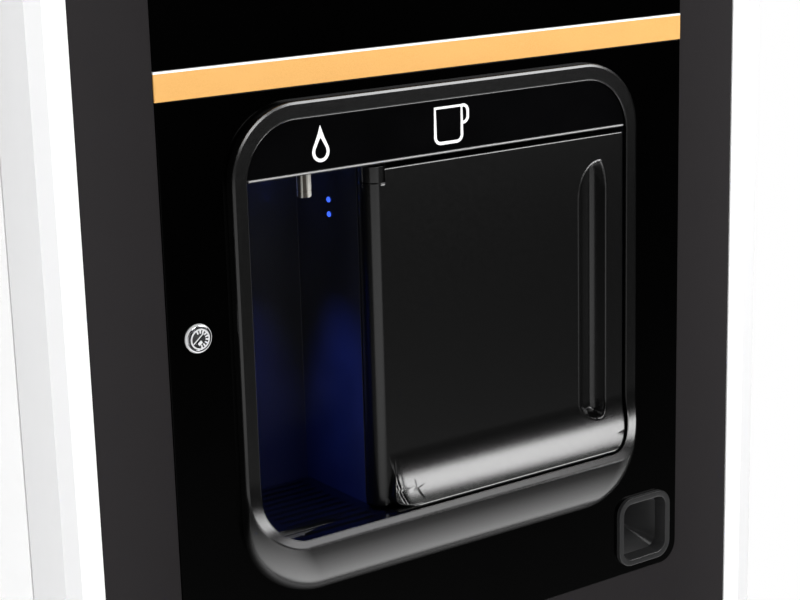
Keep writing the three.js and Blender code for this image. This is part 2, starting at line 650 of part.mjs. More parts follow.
// ---- Cabinet ----
function sidePanels() {
  const top = HEIGHT - 18.3;
  for (const [name, side] of [["left", -1], ["right", 1]]) {
    const between = (a, b) => [side * a, side * b].sort((p, q) => p - q);
    const sheet = box(...between(HALF, HALF - SHEET), CABINET_FRONT, REAR, 25, top);
    const flange = box(
      ...between(HALF, HALF - 30), CABINET_FRONT, CABINET_FRONT + SHEET, 112, top - 12,
    );
    piece(name + "_side_panel", join(sheet, flange), WHITE_PAINT);
  }
}

function topPanel() {
  const cap = box(-HALF, HALF, CABINET_FRONT - 40, REAR, HEIGHT - 18, HEIGHT);
  const hollow = box(-HALF + 3, HALF - 3, CABINET_FRONT - 37, REAR - 3, HEIGHT - 19, HEIGHT - 3);
  piece("top_panel", cut(cap, hollow), WHITE_PAINT);
}

function rearPanel() {
  const edge = HALF - SHEET - GAP;
  const plate = box(-edge, edge, REAR - 4, REAR - 2, 95, HEIGHT - 18.6);
  const vents = [];
  for (let row = 0; row < 8; row++) {
    vents.push(box(-120, 120, REAR - 6, REAR, 1560 + row * 18, 1566 + row * 18));
  }
  const powerHole = box(-230.5, -169.5, REAR - 6, REAR, 149.5, 190.5);
  const waterHole = cylinder("y", [-100, 170], REAR - 6, REAR, 11.5);
  piece("rear_panel", cut(plate, ...vents, powerHole, waterHole), ZINC);
}

function baseFrame() {
  const edge = HALF - SHEET - GAP;
  const outer = box(-edge, edge, -262, REAR - 5, 25.3, 93);
  const inner = box(-edge + 3, edge - 3, -259, REAR - 8, 24, 88);
  piece("base_frame", cut(outer, inner), CHARCOAL);
}

function feet() {
  const spots = [[-280, -220], [280, -220], [-280, 320], [280, 320]];
  spots.forEach(([x, y], i) => {
    const profile = [[0, 0], [22, 0], [22, 8], [12, 16], [7, 18], [7, 60], [0, 60]];
    piece("foot_" + (i + 1), lathe(profile, x, y, 20), RUBBER);
  });
}

// Two shelves and a bulkhead, welded, with the cup turret's stand and the carriage's guide.
function innerFrame() {
  const edge = HALF - SHEET - GAP;
  const shelf = (z) => box(-edge, edge, -175, REAR - 5, z, z + SHEET);
  const bulkhead = box(-edge, edge, BULKHEAD_Y, BULKHEAD_Y + SHEET, LOWER_SHELF + 1, UPPER_SHELF + 1);
  const low = UPPER_SHELF + 1;
  const stand = [[0, low], [60, low], [60, low + 7], [9, low + 11], [9, 1720], [0, 1720]];
  const guideTunnel = CARRIAGE_GUIDE.map((from, i) => from + (i % 2 ? -9 : 9));
  const openings = [
    cylinder("z", [TURRET_X + 70, TURRET_Y - 70], UPPER_SHELF - 1, UPPER_SHELF + 4, 36),
    box(BOWL_X - 14, BOWL_X + 14, -140, -100, UPPER_SHELF - 1, UPPER_SHELF + 4),
    box(228, 262, -97, -73, UPPER_SHELF - 1, UPPER_SHELF + 4),
    box(guideTunnel[0], guideTunnel[1], -60, BULKHEAD_Y + 3, guideTunnel[2], guideTunnel[3]),
  ];
  const guide = box(
    CARRIAGE_GUIDE[0], CARRIAGE_GUIDE[1], -40, BULKHEAD_Y + 1, CARRIAGE_GUIDE[2], CARRIAGE_GUIDE[3],
  );
  const stock = join(shelf(UPPER_SHELF), shelf(LOWER_SHELF), bulkhead, lathe(stand, TURRET_X, TURRET_Y, 20), guide);
  piece("inner_frame", cut(stock, ...openings), ZINC);
}

function hingeBrackets() {
  const right = HALF - SHEET - GAP;
  const plan = [290, right, HINGE_Y - 16, CABINET_FRONT + 40];
  const upperLow = DOOR_TOP + 1;
  const upper = join(
    box(...plan, upperLow, upperLow + 5),
    cylinder("z", [HINGE_X, HINGE_Y], DOOR_TOP - 12, upperLow + 4, PIN_RADIUS, 24),
  );
  piece("upper_hinge_bracket", upper, STEEL);
  const lowerHigh = DOOR_BOTTOM - 1;
  const lower = join(
    box(...plan, 93.3, lowerHigh),
    cylinder("z", [HINGE_X, HINGE_Y], lowerHigh - 2, DOOR_BOTTOM + 12, PIN_RADIUS, 24),
  );
  piece("lower_hinge_bracket", lower, STEEL);
}

function services() {
  const inlet = join(
    box(-230, -170, REAR - 40, REAR - 1.7, 150, 190),
    box(-236, -164, REAR - 1.8, REAR, 144, 196),
  );
  piece("power_inlet", cut(inlet, box(-222, -178, REAR - 20, REAR + 1, 156, 184)), BLACK_PLASTIC);
  const valve = join(
    cylinder("y", [-100, 170], REAR - 60, REAR - 0.5, 11, 24),
    cylinder("y", [-100, 170], REAR - 80, REAR - 30, 22, 6),
  );
  piece("water_inlet", cut(valve, cylinder("y", [-100, 170], REAR - 40, REAR + 1, 7, 20)), BRASS);
  piece("control_box", box(-290, -60, BULKHEAD_Y - 50, BULKHEAD_Y - GAP, 900, 1200), ZINC);
}

// ---- Drink making ----
function boilerAndPump() {
  const low = LOWER_SHELF + SHEET + GAP;
  const profile = [
    [0, low], [62, low], [62, low + 20], [60, low + 22], [60, low + 240],
    [50, low + 265], [20, low + 275], [12, low + 276], [12, low + 300], [0, low + 300],
  ];
  piece("boiler", lathe(profile, -210, 230, 24), STEEL);
  const pump = join(
    box(-60, 20, 200, 270, low, low + 12),
    cylinder("x", [235, low + 42], -60, -10, 32, 20),
    cylinder("x", [235, low + 42], -11, 40, 20, 20),
    box(-50, 10, 225, 245, low + 5, low + 30),
  );
  piece("water_pump", pump, BRASS);
}

function wasteBucket() {
  const outer = box(-280, 90, -170, 190, 96, 480);
  piece("waste_bucket", cut(outer, box(-276, 86, -166, 186, 100, 481)), BLACK_PLASTIC);
}

function cupTurret() {
  const body = cylinder("z", [TURRET_X, TURRET_Y], 1340, 1700, 108, 30);
  const bores = [cylinder("z", [TURRET_X, TURRET_Y], 1339, 1701, 9.8, 20)];
  for (let tube = 0; tube < 5; tube++) {
    const turn = THREE.MathUtils.degToRad(72 * tube - 45);
    const at = [TURRET_X + 66 * Math.cos(turn), TURRET_Y + 66 * Math.sin(turn)];
    bores.push(cylinder("z", at, 1339, 1701, 37.5, 20));
  }
  piece("cup_turret", cut(body, ...bores), CLEAR_PLASTIC);
}

// A screw flight: a rectangular strip wound round a shaft that lies along Y.
function screwFlight(x, z, y0, y1, innerRadius, outerRadius, pitch) {
  const perTurn = 8;
  const steps = Math.round(((y1 - y0) / pitch) * perTurn);
  const sections = [];
  for (let step = 0; step <= steps; step++) {
    const turn = (2 * Math.PI * step) / perTurn;
    const y = y0 + ((y1 - y0) * step) / steps;
    const at = (radius, shift) => [x + radius * Math.cos(turn), y + shift, z + radius * Math.sin(turn)];
    sections.push([at(innerRadius, 0), at(outerRadius, 0), at(outerRadius, 2.5), at(innerRadius, 2.5)]);
  }
  return loft(sections);
}

function canisters() {
  const low = 1370;
  CANISTER_X.forEach((x, i) => {
    const number = i + 1;
    const towardBowl = Math.sign(BOWL_X - x);
    const outer = join(
      box(x - 50, x + 50, -100, 90, low, low + 270),
      cylinder("y", [x, low + 20], -140, -99, 20, 20),
      box(x - 8 + towardBowl * 16, x + 8 + towardBowl * 16, -138, -112, low - 30, low + 20),
    );
    const inside = join(
      box(x - 47, x + 47, -97, 87, low + 36, low + 271),
      cylinder("y", [x, low + 20], -137, 87, 17, 20),
      box(x - 12, x + 12, -97, 87, low + 20, low + 40),
      box(x - 5 + towardBowl * 16, x + 5 + towardBowl * 16, -135, -115, low - 31, low + 14),
    );
    const shaftHole = cylinder("y", [x, low + 20], 85, 92, 6, 16);
    piece("canister_" + number, cut(outer, inside, shaftHole), CLEAR_PLASTIC);
    const shaft = cylinder("y", [x, low + 20], -130, 112, 5, 12);
    const flight = screwFlight(x, low + 20, -128, 80, 3, 14.5, 40);
    piece("auger_" + number, join(shaft, flight), WHITE_PLASTIC);
  });
}

function mixer() {
  const y = -122;
  const low = UPPER_SHELF + 8;
  const bowl = join(
    lathe([[0, low], [16, low], [16, low + 22], [46, low + 62], [46, low + 68], [0, low + 68]], BOWL_X, y, 16),
    cylinder("z", [BOWL_X, y], low - 30, low + 1, 8, 16),
    box(BOWL_X - 20, BOWL_X + 20, -70, -20, UPPER_SHELF + SHEET + GAP, low + 34),
    cylinder("y", [BOWL_X, low + 12], -110, -69, 14, 20),
  );
  const hollow = join(
    lathe([[0, low + 2], [13, low + 2], [13, low + 22], [43, low + 63], [43, low + 69], [0, low + 69]], BOWL_X, y, 16),
    cylinder("z", [BOWL_X, y], low - 31, low + 3, 6, 16),
    cylinder("y", [BOWL_X, low + 12], -120, -90, 11, 20),
    cylinder("y", [BOWL_X, low + 12], -95, -60, 3.6, 12),
  );
  piece("mixing_bowl", cut(bowl, hollow), WHITE_PLASTIC);
  const shaft = cylinder("y", [BOWL_X, low + 12], -122, -64, 2.8, 12);
  const blades = [0, 60, 120].map((angle) => {
    const blade = new THREE.BoxGeometry(17, 4, 2.5).rotateY(THREE.MathUtils.degToRad(angle));
    return solid(blade.translate(BOWL_X, -104, low + 12));
  });
  piece("whipper", join(shaft, ...blades), WHITE_PLASTIC);
}

function coffeeGroup() {
  const hopperLow = 1440;
  const hopper = join(
    box(178, 312, -110, 60, hopperLow + 60, 1600),
    loft([
      [[215, -60, hopperLow], [275, -60, hopperLow], [275, 0, hopperLow], [215, 0, hopperLow]],
      [[178, -110, 1500], [312, -110, 1500], [312, 60, 1500], [178, 60, 1500]],
    ]),
  );
  const hollow = join(
    box(181, 309, -107, 57, 1500, 1601),
    loft([
      [[222, -53, hopperLow - 1], [268, -53, hopperLow - 1], [268, -7, hopperLow - 1], [222, -7, hopperLow - 1]],
      [[181, -107, 1501], [309, -107, 1501], [309, 57, 1501], [181, 57, 1501]],
    ]),
  );
  piece("bean_hopper", cut(hopper, hollow), CLEAR_PLASTIC);
  const lid = join(box(176, 314, -112, 56, 1600.4, 1603.4), cylinder("x", [58, 1604.4], 190, 300, 4, 12));
  piece("hopper_lid", lid, BLACK_PLASTIC);
  const grinderLow = UPPER_SHELF + SHEET + GAP;
  const grinder = join(
    cylinder("z", [245, -30], grinderLow, 1400, 48, 24),
    cylinder("z", [245, -30], 1399, hopperLow - GAP, 34, 24),
    box(225, 265, -100, -60, 1290, 1350),
  );
  piece("grinder", cut(grinder, box(229, 261, -96, -76, 1280, 1340)), BLACK_PLASTIC);
  const [x, y] = [245, -64];
  const frame = cut(box(190, 300, -100, BULKHEAD_Y - GAP, 940, 1180), box(200, 290, -101, 75, 1010, 1168));
  const chamber = cylinder("z", [x, y], 950, 1060, 34, 24);
  const bore = cylinder("z", [x, y], 975, 1200, 25, 24);
  piece("brew_unit", cut(join(frame, chamber), bore), WHITE_PLASTIC);
  const piston = join(
    cylinder("z", [x, y], 1050, 1066, 24, 24),
    cylinder("z", [x, y], 1065, 1230, 9, 16),
  );
  piece("brew_piston", piston, STEEL);
}

function dispenseCarriage() {
  const y = -170;
  const x = CARRIAGE_X;
  const z = CARRIAGE_Z;
  const ring = cut(
    cylinder("z", [x, y], z, z + 8, 43, 24),
    cylinder("z", [x, y], z - 1, z + 9, 36, 24),
    box(x - 12, x + 12, y - 50, y - 20, z - 1, z + 9),
  );
  const arm = box(x - 12, x + 12, y + 38, y + 240, z, z + 8);
  const post = box(x - 12, x + 12, y + 50, y + 62, z, z + 76);
  const spouts = join(
    box(x - 16, x + 16, y - 16, y + 62, z + 62, z + 76),
    ...[-8, 8].map((side) => cylinder("z", [x + side, y], z + 50, z + 64, 5, 16)),
  );
  piece("dispense_carriage", join(ring, arm, post, spouts), BLACK_PLASTIC);
}

// ---- Assembly ----
doorFrame();
whiteStrips();
frontPanel();
glossPanels();
doorInnerPan();
bayBezel();
iconPanel();
bayLiner();
bottleNozzle();
nicheLight();
dripTray();
dripGrille();
cupPlatform();
cupDoor();
cupDoorHingePost();
lock();
coinCup();
payment();
sidePanels();
topPanel();
rearPanel();
baseFrame();
feet();
innerFrame();
hingeBrackets();
services();
boilerAndPump();
wasteBucket();
cupTurret();
canisters();
mixer();
coffeeGroup();
dispenseCarriage();

export default machine;
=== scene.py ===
"""The finished look of the hot coffee vending machine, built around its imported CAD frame."""

import json
import math

import bmesh
import bpy
from mathutils import Matrix, Vector

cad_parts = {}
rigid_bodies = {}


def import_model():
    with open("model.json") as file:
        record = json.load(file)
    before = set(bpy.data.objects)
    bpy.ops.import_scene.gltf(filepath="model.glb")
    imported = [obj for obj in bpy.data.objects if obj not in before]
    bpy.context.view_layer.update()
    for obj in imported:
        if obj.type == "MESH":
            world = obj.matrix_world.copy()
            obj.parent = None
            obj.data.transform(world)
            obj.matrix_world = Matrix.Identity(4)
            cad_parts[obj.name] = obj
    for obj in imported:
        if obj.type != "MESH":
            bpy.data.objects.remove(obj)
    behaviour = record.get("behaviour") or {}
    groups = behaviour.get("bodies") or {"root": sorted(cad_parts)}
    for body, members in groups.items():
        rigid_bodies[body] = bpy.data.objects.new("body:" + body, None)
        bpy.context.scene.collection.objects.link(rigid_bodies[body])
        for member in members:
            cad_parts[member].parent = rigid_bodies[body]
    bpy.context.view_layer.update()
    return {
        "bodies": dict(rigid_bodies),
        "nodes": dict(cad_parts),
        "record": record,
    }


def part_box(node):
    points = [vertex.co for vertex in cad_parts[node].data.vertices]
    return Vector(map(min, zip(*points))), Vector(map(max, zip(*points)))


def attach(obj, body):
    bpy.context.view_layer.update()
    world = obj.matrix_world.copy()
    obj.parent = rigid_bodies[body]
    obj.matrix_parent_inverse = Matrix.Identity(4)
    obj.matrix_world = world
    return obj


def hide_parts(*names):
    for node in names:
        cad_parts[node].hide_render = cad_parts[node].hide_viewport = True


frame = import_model()
RECORD = frame["record"]
NODES = frame["nodes"]

# ---- Places that everything else is measured from, in metres ----
MM = 0.001
DOOR_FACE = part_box("gold_stripe")[0].y  # the plane of the main door's face
BEZEL_BELOW_LEVEL = 203 * MM
BAY_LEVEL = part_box("bay_bezel")[0].z + BEZEL_BELOW_LEVEL  # the height that the bay is drawn from

# ---- Driving dimensions of the bay, in millimetres ----
# x is from the machine's middle, y is from the door's face (negative stands proud), z from BAY_LEVEL.
BAND = 7  # how far the bezel's flat band stands proud
FLARE_START = -112  # below this the band and the cup door sweep outward
FLARE_RADIUS = 63
CUP_DOOR_LEFT = -62
CUP_DOOR_RIGHT = 170.4
CUP_DOOR_TOP = 101
CUP_DOOR_BOTTOM = -153.3
CUP_DOOR_BACK = 14
BARREL_RADIUS = 10.5
KNUCKLE_HEIGHT = 10.2
GROOVE_LEFT = 124.8
GROOVE_DEEPEST = 143
GROOVE_APEX = 145.5  # where its two sides meet at each end
GROOVE_RIGHT = 151.6
GROOVE_TOP = 80
GROOVE_BOTTOM = -127
GROOVE_DEPTH = 10
BOW_END = -30  # where the cup door's shaped left end has become its plain front
CREASE_GAP = 2.4  # between the two creases at the left end of the door's foot
LINE_WIDTH = 2.3  # of the pictograms


# ---- Mesh helpers ----
def place(x, y, z):
    """A point given in the bay's millimetres, in the frame's metres."""
    return Vector((x * MM, DOOR_FACE + y * MM, BAY_LEVEL + z * MM))


def add_object(name, mesh_source, sharp_degrees=32):
    """Turns a bmesh into a named, smooth-shaded object with its sharp edges marked."""
    bmesh.ops.recalc_face_normals(mesh_source, faces=mesh_source.faces)
    limit = math.radians(sharp_degrees)
    for face in mesh_source.faces:
        face.smooth = True
    for edge in mesh_source.edges:
        if len(edge.link_faces) == 2 and edge.calc_face_angle(0) > limit:
            edge.smooth = False
    mesh = bpy.data.meshes.new(name)
    mesh_source.to_mesh(mesh)
    mesh_source.free()
    made = bpy.data.objects.new(name, mesh)
    bpy.context.scene.collection.objects.link(made)
    return made


def even_shading(made):
    """Lets the large flat faces set the shading, so that rounded edges don't bend it."""
    change = made.modifiers.new("even shading", "WEIGHTED_NORMAL")
    change.keep_sharp = True
    change.weight = 80


def add_piece(name, mesh_source, body, slot, replaced=(), sharp_degrees=32):
    made = add_object(name, mesh_source, sharp_degrees)
    even_shading(made)
    made.data.materials.append(MATERIALS[slot])
    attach(made, body)
    if replaced:
        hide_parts(*replaced)
    return made


def add_loft(mesh_source, sections, ring=False, closed=True):
    """Joins sections of equal point count. A ring meets itself; otherwise the ends are capped."""
    rows = [[mesh_source.verts.new(point) for point in section] for section in sections]
    count = len(sections[0])
    spans = len(rows) if ring else len(rows) - 1
    for i in range(spans):
        here, following = rows[i], rows[(i + 1) % len(rows)]
        for k in range(count if closed else count - 1):
            l = (k + 1) % count
            mesh_source.faces.new((here[k], here[l], following[l], following[k]))
    if not ring:
        mesh_source.faces.new(rows[0])
        mesh_source.faces.new(list(reversed(rows[-1])))


def rounded_outline(x0, x1, z0, z1, radius, steps=8):
    """Corner points of a rounded rectangle, anticlockwise from the right of its top right corner."""
    centres = [
        (x1 - radius, z1 - radius, 0), (x0 + radius, z1 - radius, 1),
        (x0 + radius, z0 + radius, 2), (x1 - radius, z0 + radius, 3),
    ]
    points = []
    for centre_x, centre_z, corner in centres:
        for step in range(steps + 1):
            angle = (corner + step / steps) * math.pi / 2
            points.append((centre_x + radius * math.cos(angle), centre_z + radius * math.sin(angle)))
    return points


def add_rounded_plate(mesh_source, x0, x1, z0, z1, radius, front, back, edge, steps=8):
    """A plate in the door's plane with a rounded front edge; every value in millimetres."""
    sections = []
    for degrees in (90, 60, 30, 0):
        inset = edge * (1 - math.cos(math.radians(degrees)))
        y = front + edge * (1 - math.sin(math.radians(degrees)))
        outline = rounded_outline(x0 + inset, x1 - inset, z0 + inset, z1 - inset, radius - inset, steps)
        sections.append([place(x, y, z) for x, z in outline])
    sections.append([place(x, back, z) for x, z in rounded_outline(x0, x1, z0, z1, radius, steps)])
    add_loft(mesh_source, sections)


def add_turned(mesh_source, profile, matrix, sides=48):
    """A solid of revolution: (radius, distance) pairs along the matrix's Z axis, in millimetres."""
    sections = []
    for radius, distance in profile:
        ring = []
        for side in range(sides):
            angle = 2 * math.pi * side / sides
            local = Vector((radius * math.cos(angle), radius * math.sin(angle), distance)) * MM
            ring.append(matrix @ local)
        sections.append(ring)
    add_loft(mesh_source, sections)


def into_door(x, z):
    """A matrix whose Z axis points into the door from a point on the door's face."""
    axes = Matrix(((1, 0, 0), (0, 0, 1), (0, -1, 0)))
    return Matrix.Translation(place(x, 0, z)) @ axes.to_4x4()


def add_box(mesh_source, low, high):
    """A box between two corners in the frame's metres."""
    corners = [(low[0], low[1]), (high[0], low[1]), (high[0], high[1]), (low[0], high[1])]
    bottom = [mesh_source.verts.new((x, y, low[2])) for x, y in corners]
    top = [mesh_source.verts.new((x, y, high[2])) for x, y in corners]
    mesh_source.faces.new(bottom)
    mesh_source.faces.new(list(reversed(top)))
    for k in range(4):
        l = (k + 1) % 4
        mesh_source.faces.new((bottom[k], bottom[l], top[l], top[k]))


def apply_modifiers(made):
    """Replaces an object's mesh with the result of its modifiers."""
    graph = bpy.context.evaluated_depsgraph_get()
    result = bpy.data.meshes.new_from_object(made.evaluated_get(graph))
    made.modifiers.clear()
    made.data = result


def cut_away(made, cutter):
    """Takes the cutter's shape out of an object, and removes the cutter."""
    change = made.modifiers.new("cut", "BOOLEAN")
    change.object = cutter
    change.solver = "MANIFOLD"
    apply_modifiers(made)
    bpy.data.objects.remove(cutter)


# ---- Materials ----
class Shader:
    """A Principled material whose colour, roughness and bump come from procedural noise."""

    def __init__(self, name, colour, roughness, **constants):
        self.material = bpy.data.materials.new(name)
        self.material.use_nodes = True
        self.nodes = self.material.node_tree.nodes
        self.links = self.material.node_tree.links
        self.principled = self.nodes["Principled BSDF"]
        self.place = self.nodes.new("ShaderNodeTexCoord").outputs["Object"]
        self.colour = colour
        self.principled.inputs["Base Color"].default_value = (*colour, 1)
        self.principled.inputs["Roughness"].default_value = roughness
        self.roughness = roughness
        for socket, value in constants.items():
            self.principled.inputs[socket.replace("_", " ")].default_value = value

    def noise(self, scale, detail=4, stretch=(1, 1, 1), roughness=0.55):
        source = self.place
        if stretch != (1, 1, 1):
            mapping = self.nodes.new("ShaderNodeMapping")
            mapping.inputs["Scale"].default_value = stretch
            self.links.new(source, mapping.inputs["Vector"])
            source = mapping.outputs["Vector"]
        texture = self.nodes.new("ShaderNodeTexNoise")
        texture.inputs["Scale"].default_value = scale
        texture.inputs["Detail"].default_value = detail
        texture.inputs["Roughness"].default_value = roughness
        self.links.new(source, texture.inputs["Vector"])
        return texture.outputs["Fac"]

    def spread(self, value, low, high, to_low=0.0, to_high=1.0):
        """Maps a noise value's middle range onto another range."""
        node = self.nodes.new("ShaderNodeMapRange")
        node.inputs["From Min"].default_value = low
        node.inputs["From Max"].default_value = high
        node.inputs["To Min"].default_value = to_low
        node.inputs["To Max"].default_value = to_high
        self.links.new(value, node.inputs["Value"])
        return node.outputs["Result"]

    def mix_colour(self, share, first, second):
        node = self.nodes.new("ShaderNodeMix")
        node.data_type = "RGBA"
        self.links.new(share, node.inputs["Factor"])
        for socket, colour in ((node.inputs[6], first), (node.inputs[7], second)):
            if isinstance(colour, tuple):
                socket.default_value = (*colour, 1)
            else:
                self.links.new(colour, socket)
        return node.outputs[2]

    def set_colour(self, value):
        self.links.new(value, self.principled.inputs["Base Color"])

    def vary_colour(self, scale, amount, **noise):
        """Lightens and darkens the base colour a little, patch by patch."""
        share = self.spread(self.noise(scale, **noise), 0.3, 0.7)
        dark = tuple(max(0, part * (1 - amount)) for part in self.colour)
        light = tuple(min(1, part * (1 + amount)) for part in self.colour)
        mixed = self.mix_colour(share, dark, light)
        self.set_colour(mixed)
        return mixed

    def vary_roughness(self, scale, amount, **noise):
        low, high = max(0.02, self.roughness - amount), min(1, self.roughness + amount)
        varied = self.spread(self.noise(scale, **noise), 0.3, 0.7, low, high)
        self.links.new(varied, self.principled.inputs["Roughness"])

    def bump(self, *layers):
        """Each layer is (height value, strength, distance in metres); they add up."""
        normal = None
        for height, strength, distance in layers:
            node = self.nodes.new("ShaderNodeBump")
            node.inputs["Strength"].default_value = strength
            node.inputs["Distance"].default_value = distance
            self.links.new(height, node.inputs["Height"])
            if normal:
                self.links.new(normal, node.inputs["Normal"])
            normal = node.outputs["Normal"]
        self.links.new(normal, self.principled.inputs["Normal"])

    def wear(self, base, worn, low=0.53, high=0.6):
        """Lightens the convex edges, where hands and cloths rub."""
        pointiness = self.nodes.new("ShaderNodeNewGeometry").outputs["Pointiness"]
        self.set_colour(self.mix_colour(self.spread(pointiness, low, high), base, worn))


def powder_coat(name, colour, roughness=0.42):
    shader = Shader(name, colour, roughness, Specular_IOR_Level=0.4)
    mixed = shader.vary_colour(9, 0.012)
    shader.wear(mixed, tuple(min(1, part * 1.05 + 0.02) for part in colour))
    shader.vary_roughness(14, 0.05)
    shader.bump((shader.noise(900, detail=2), 0.12, 0.0002), (shader.noise(120, detail=2), 0.05, 0.0004))
    return shader.material


def charcoal_paint(name):
    shader = Shader(name, (0.0165, 0.0148, 0.0156), 0.6, Specular_IOR_Level=0.05)
    mixed = shader.vary_colour(30, 0.04)
    shader.wear(mixed, (0.028, 0.026, 0.027))
    shader.vary_roughness(40, 0.06)
    shader.bump((shader.noise(1400, detail=2), 0.1, 0.0001))
    return shader.material


def gloss_black(name):
    shader = Shader(name, (0.0004, 0.0004, 0.0004), 0.07, Specular_IOR_Level=0.12)
    shader.vary_colour(6, 0.3)
    shader.vary_roughness(8, 0.025)
    shader.bump((shader.noise(5, detail=1), 0.02, 0.002))
    return shader.material


def icon_black(name):
    shader = Shader(name, (0.0016, 0.0016, 0.0018), 0.12, Specular_IOR_Level=0.15)
    specks = shader.spread(shader.noise(750, detail=3, roughness=0.7), 0.7, 0.76)
    shader.set_colour(shader.mix_colour(specks, shader.vary_colour(12, 0.35), (0.02, 0.02, 0.024)))
    shader.vary_roughness(20, 0.05)
    shader.bump((shader.noise(6, detail=1), 0.02, 0.002))
    return shader.material


def satin_black(name, colour=(0.0008, 0.0008, 0.0008), roughness=0.22, shine=1.0):
    """Dark satin moulding with a fine grain and a few light specks of dust."""
    shader = Shader(name, colour, roughness, Specular_IOR_Level=shine)
    mixed = shader.vary_colour(18, 0.1)
    specks = shader.spread(shader.noise(620, detail=3, roughness=0.75), 0.69, 0.75)
    shader.set_colour(shader.mix_colour(specks, mixed, tuple(part * 16 for part in colour)))
    shader.vary_roughness(240, 0.012)
    shader.bump((shader.noise(2600, detail=2), 0.1, 0.00008), (shader.noise(900, detail=2), 0.02, 0.0001))
    return shader.material


def niche_black(name):
    """The liner's darker satin plastic."""
    shader = Shader(name, (0.008, 0.0085, 0.012), 0.2, Specular_IOR_Level=0.5)
    shader.vary_colour(25, 0.2)
    shader.vary_roughness(30, 0.06)
    shader.bump((shader.noise(300, detail=2), 0.05, 0.0002))
    return shader.material


def moulded_plastic(name, colour, roughness=0.45, specular=0.4):
    shader = Shader(name, colour, roughness, Specular_IOR_Level=specular)
    mixed = shader.vary_colour(20, 0.05)
    shader.wear(mixed, tuple(min(1, part * 1.15 + 0.01) for part in colour))
    shader.vary_roughness(45, 0.06)
    shader.bump((shader.noise(1500, detail=2), 0.15, 0.0001))
    return shader.material


def gold_lacquer(name):
    shader = Shader(name, (0.8, 0.42, 0.115), 0.5, Metallic=0.0, Specular_IOR_Level=0.3)
    grain = shader.spread(shader.noise(1300, detail=3, roughness=0.7), 0.32, 0.68)
    patches = shader.spread(shader.noise(22, detail=3), 0.3, 0.7)
    shaded = shader.mix_colour(grain, (0.74, 0.375, 0.095), (0.86, 0.465, 0.14))
    shader.set_colour(shader.mix_colour(patches, shaded, (0.82, 0.44, 0.128)))
    shader.vary_roughness(80, 0.06)
    shader.bump((shader.noise(1300, detail=3, roughness=0.7), 0.12, 0.00012))
    return shader.material


def bright_metal(name, colour, roughness, stretch=(1, 1, 1), anisotropic=0.0):
    shader = Shader(name, colour, roughness, Metallic=1.0, Anisotropic=anisotropic)
    shader.vary_colour(40, 0.05, stretch=stretch)
    shader.vary_roughness(160, 0.06, stretch=stretch)
    shader.bump((shader.noise(700, detail=3, stretch=stretch), 0.08, 0.00008))
    return shader.material


def satin_steel(name):
    """Bright drawn steel with a painted soft white sheen: its colour runs in painted reflection streaks
    along its length, from dark brown to near white.
    """
    shader = Shader(name, (0.7, 0.69, 0.66), 0.22, Metallic=0.3)
    # Painted reflections: light and dark streaks along the length.
    painted_reflection_streaks = shader.spread(shader.noise(300, detail=1, stretch=(1, 1, 0.01)), 0.46, 0.54)
    shader.set_colour(shader.mix_colour(painted_reflection_streaks, (0.06, 0.052, 0.042), (0.95, 0.93, 0.86)))
    shader.vary_roughness(120, 0.06)
    shader.bump((shader.noise(900, detail=2, stretch=(1, 1, 0.02)), 0.06, 0.0001))
    return shader.material


def galvanised_sheet(name):
    """Bare zinc-coated steel, with its faint crystal patches."""
    shader = Shader(name, (0.5, 0.51, 0.52), 0.42, Metallic=0.85)
    cells = shader.nodes.new("ShaderNodeTexVoronoi")
    cells.inputs["Scale"].default_value = 60
    shader.links.new(shader.place, cells.inputs["Vector"])
    patches = shader.spread(cells.outputs["Distance"], 0.1, 0.8)
    shader.set_colour(shader.mix_colour(patches, (0.485, 0.495, 0.51), (0.53, 0.54, 0.555)))
    roughness = shader.spread(cells.outputs["Distance"], 0.1, 0.8, 0.36, 0.5)
    shader.links.new(roughness, shader.principled.inputs["Roughness"])
    shader.bump((shader.noise(200, detail=2), 0.06, 0.0002))
    return shader.material


def clear_plastic(name):
    shader = Shader(name, (0.82, 0.87, 0.88), 0.1, Transmission_Weight=0.9, IOR=1.49)
    shader.vary_colour(20, 0.04)
    shader.vary_roughness(30, 0.04)
    shader.bump((shader.noise(60, detail=2), 0.04, 0.0004))
    return shader.material


def lit_plastic(name, colour, glow, strength):
    shader = Shader(name, colour, 0.35, Specular_IOR_Level=0.4)
    shader.principled.inputs["Emission Color"].default_value = (*glow, 1)
    shader.principled.inputs["Emission Strength"].default_value = strength
    shader.vary_colour(60, 0.08)
    shader.bump((shader.noise(400, detail=2), 0.05, 0.0001))
    return shader.material


def moulded_rubber(name):
    shader = Shader(name, (0.018, 0.018, 0.018), 0.8, Specular_IOR_Level=0.3)
    shader.vary_colour(70, 0.25)
    shader.vary_roughness(50, 0.08)
    shader.bump((shader.noise(500, detail=4), 0.3, 0.0003))
    return shader.material


def stage_paint(name, colour):
    shader = Shader(name, colour, 0.7, Specular_IOR_Level=0.1)
    shader.vary_colour(2, 0.01)
    return shader.material


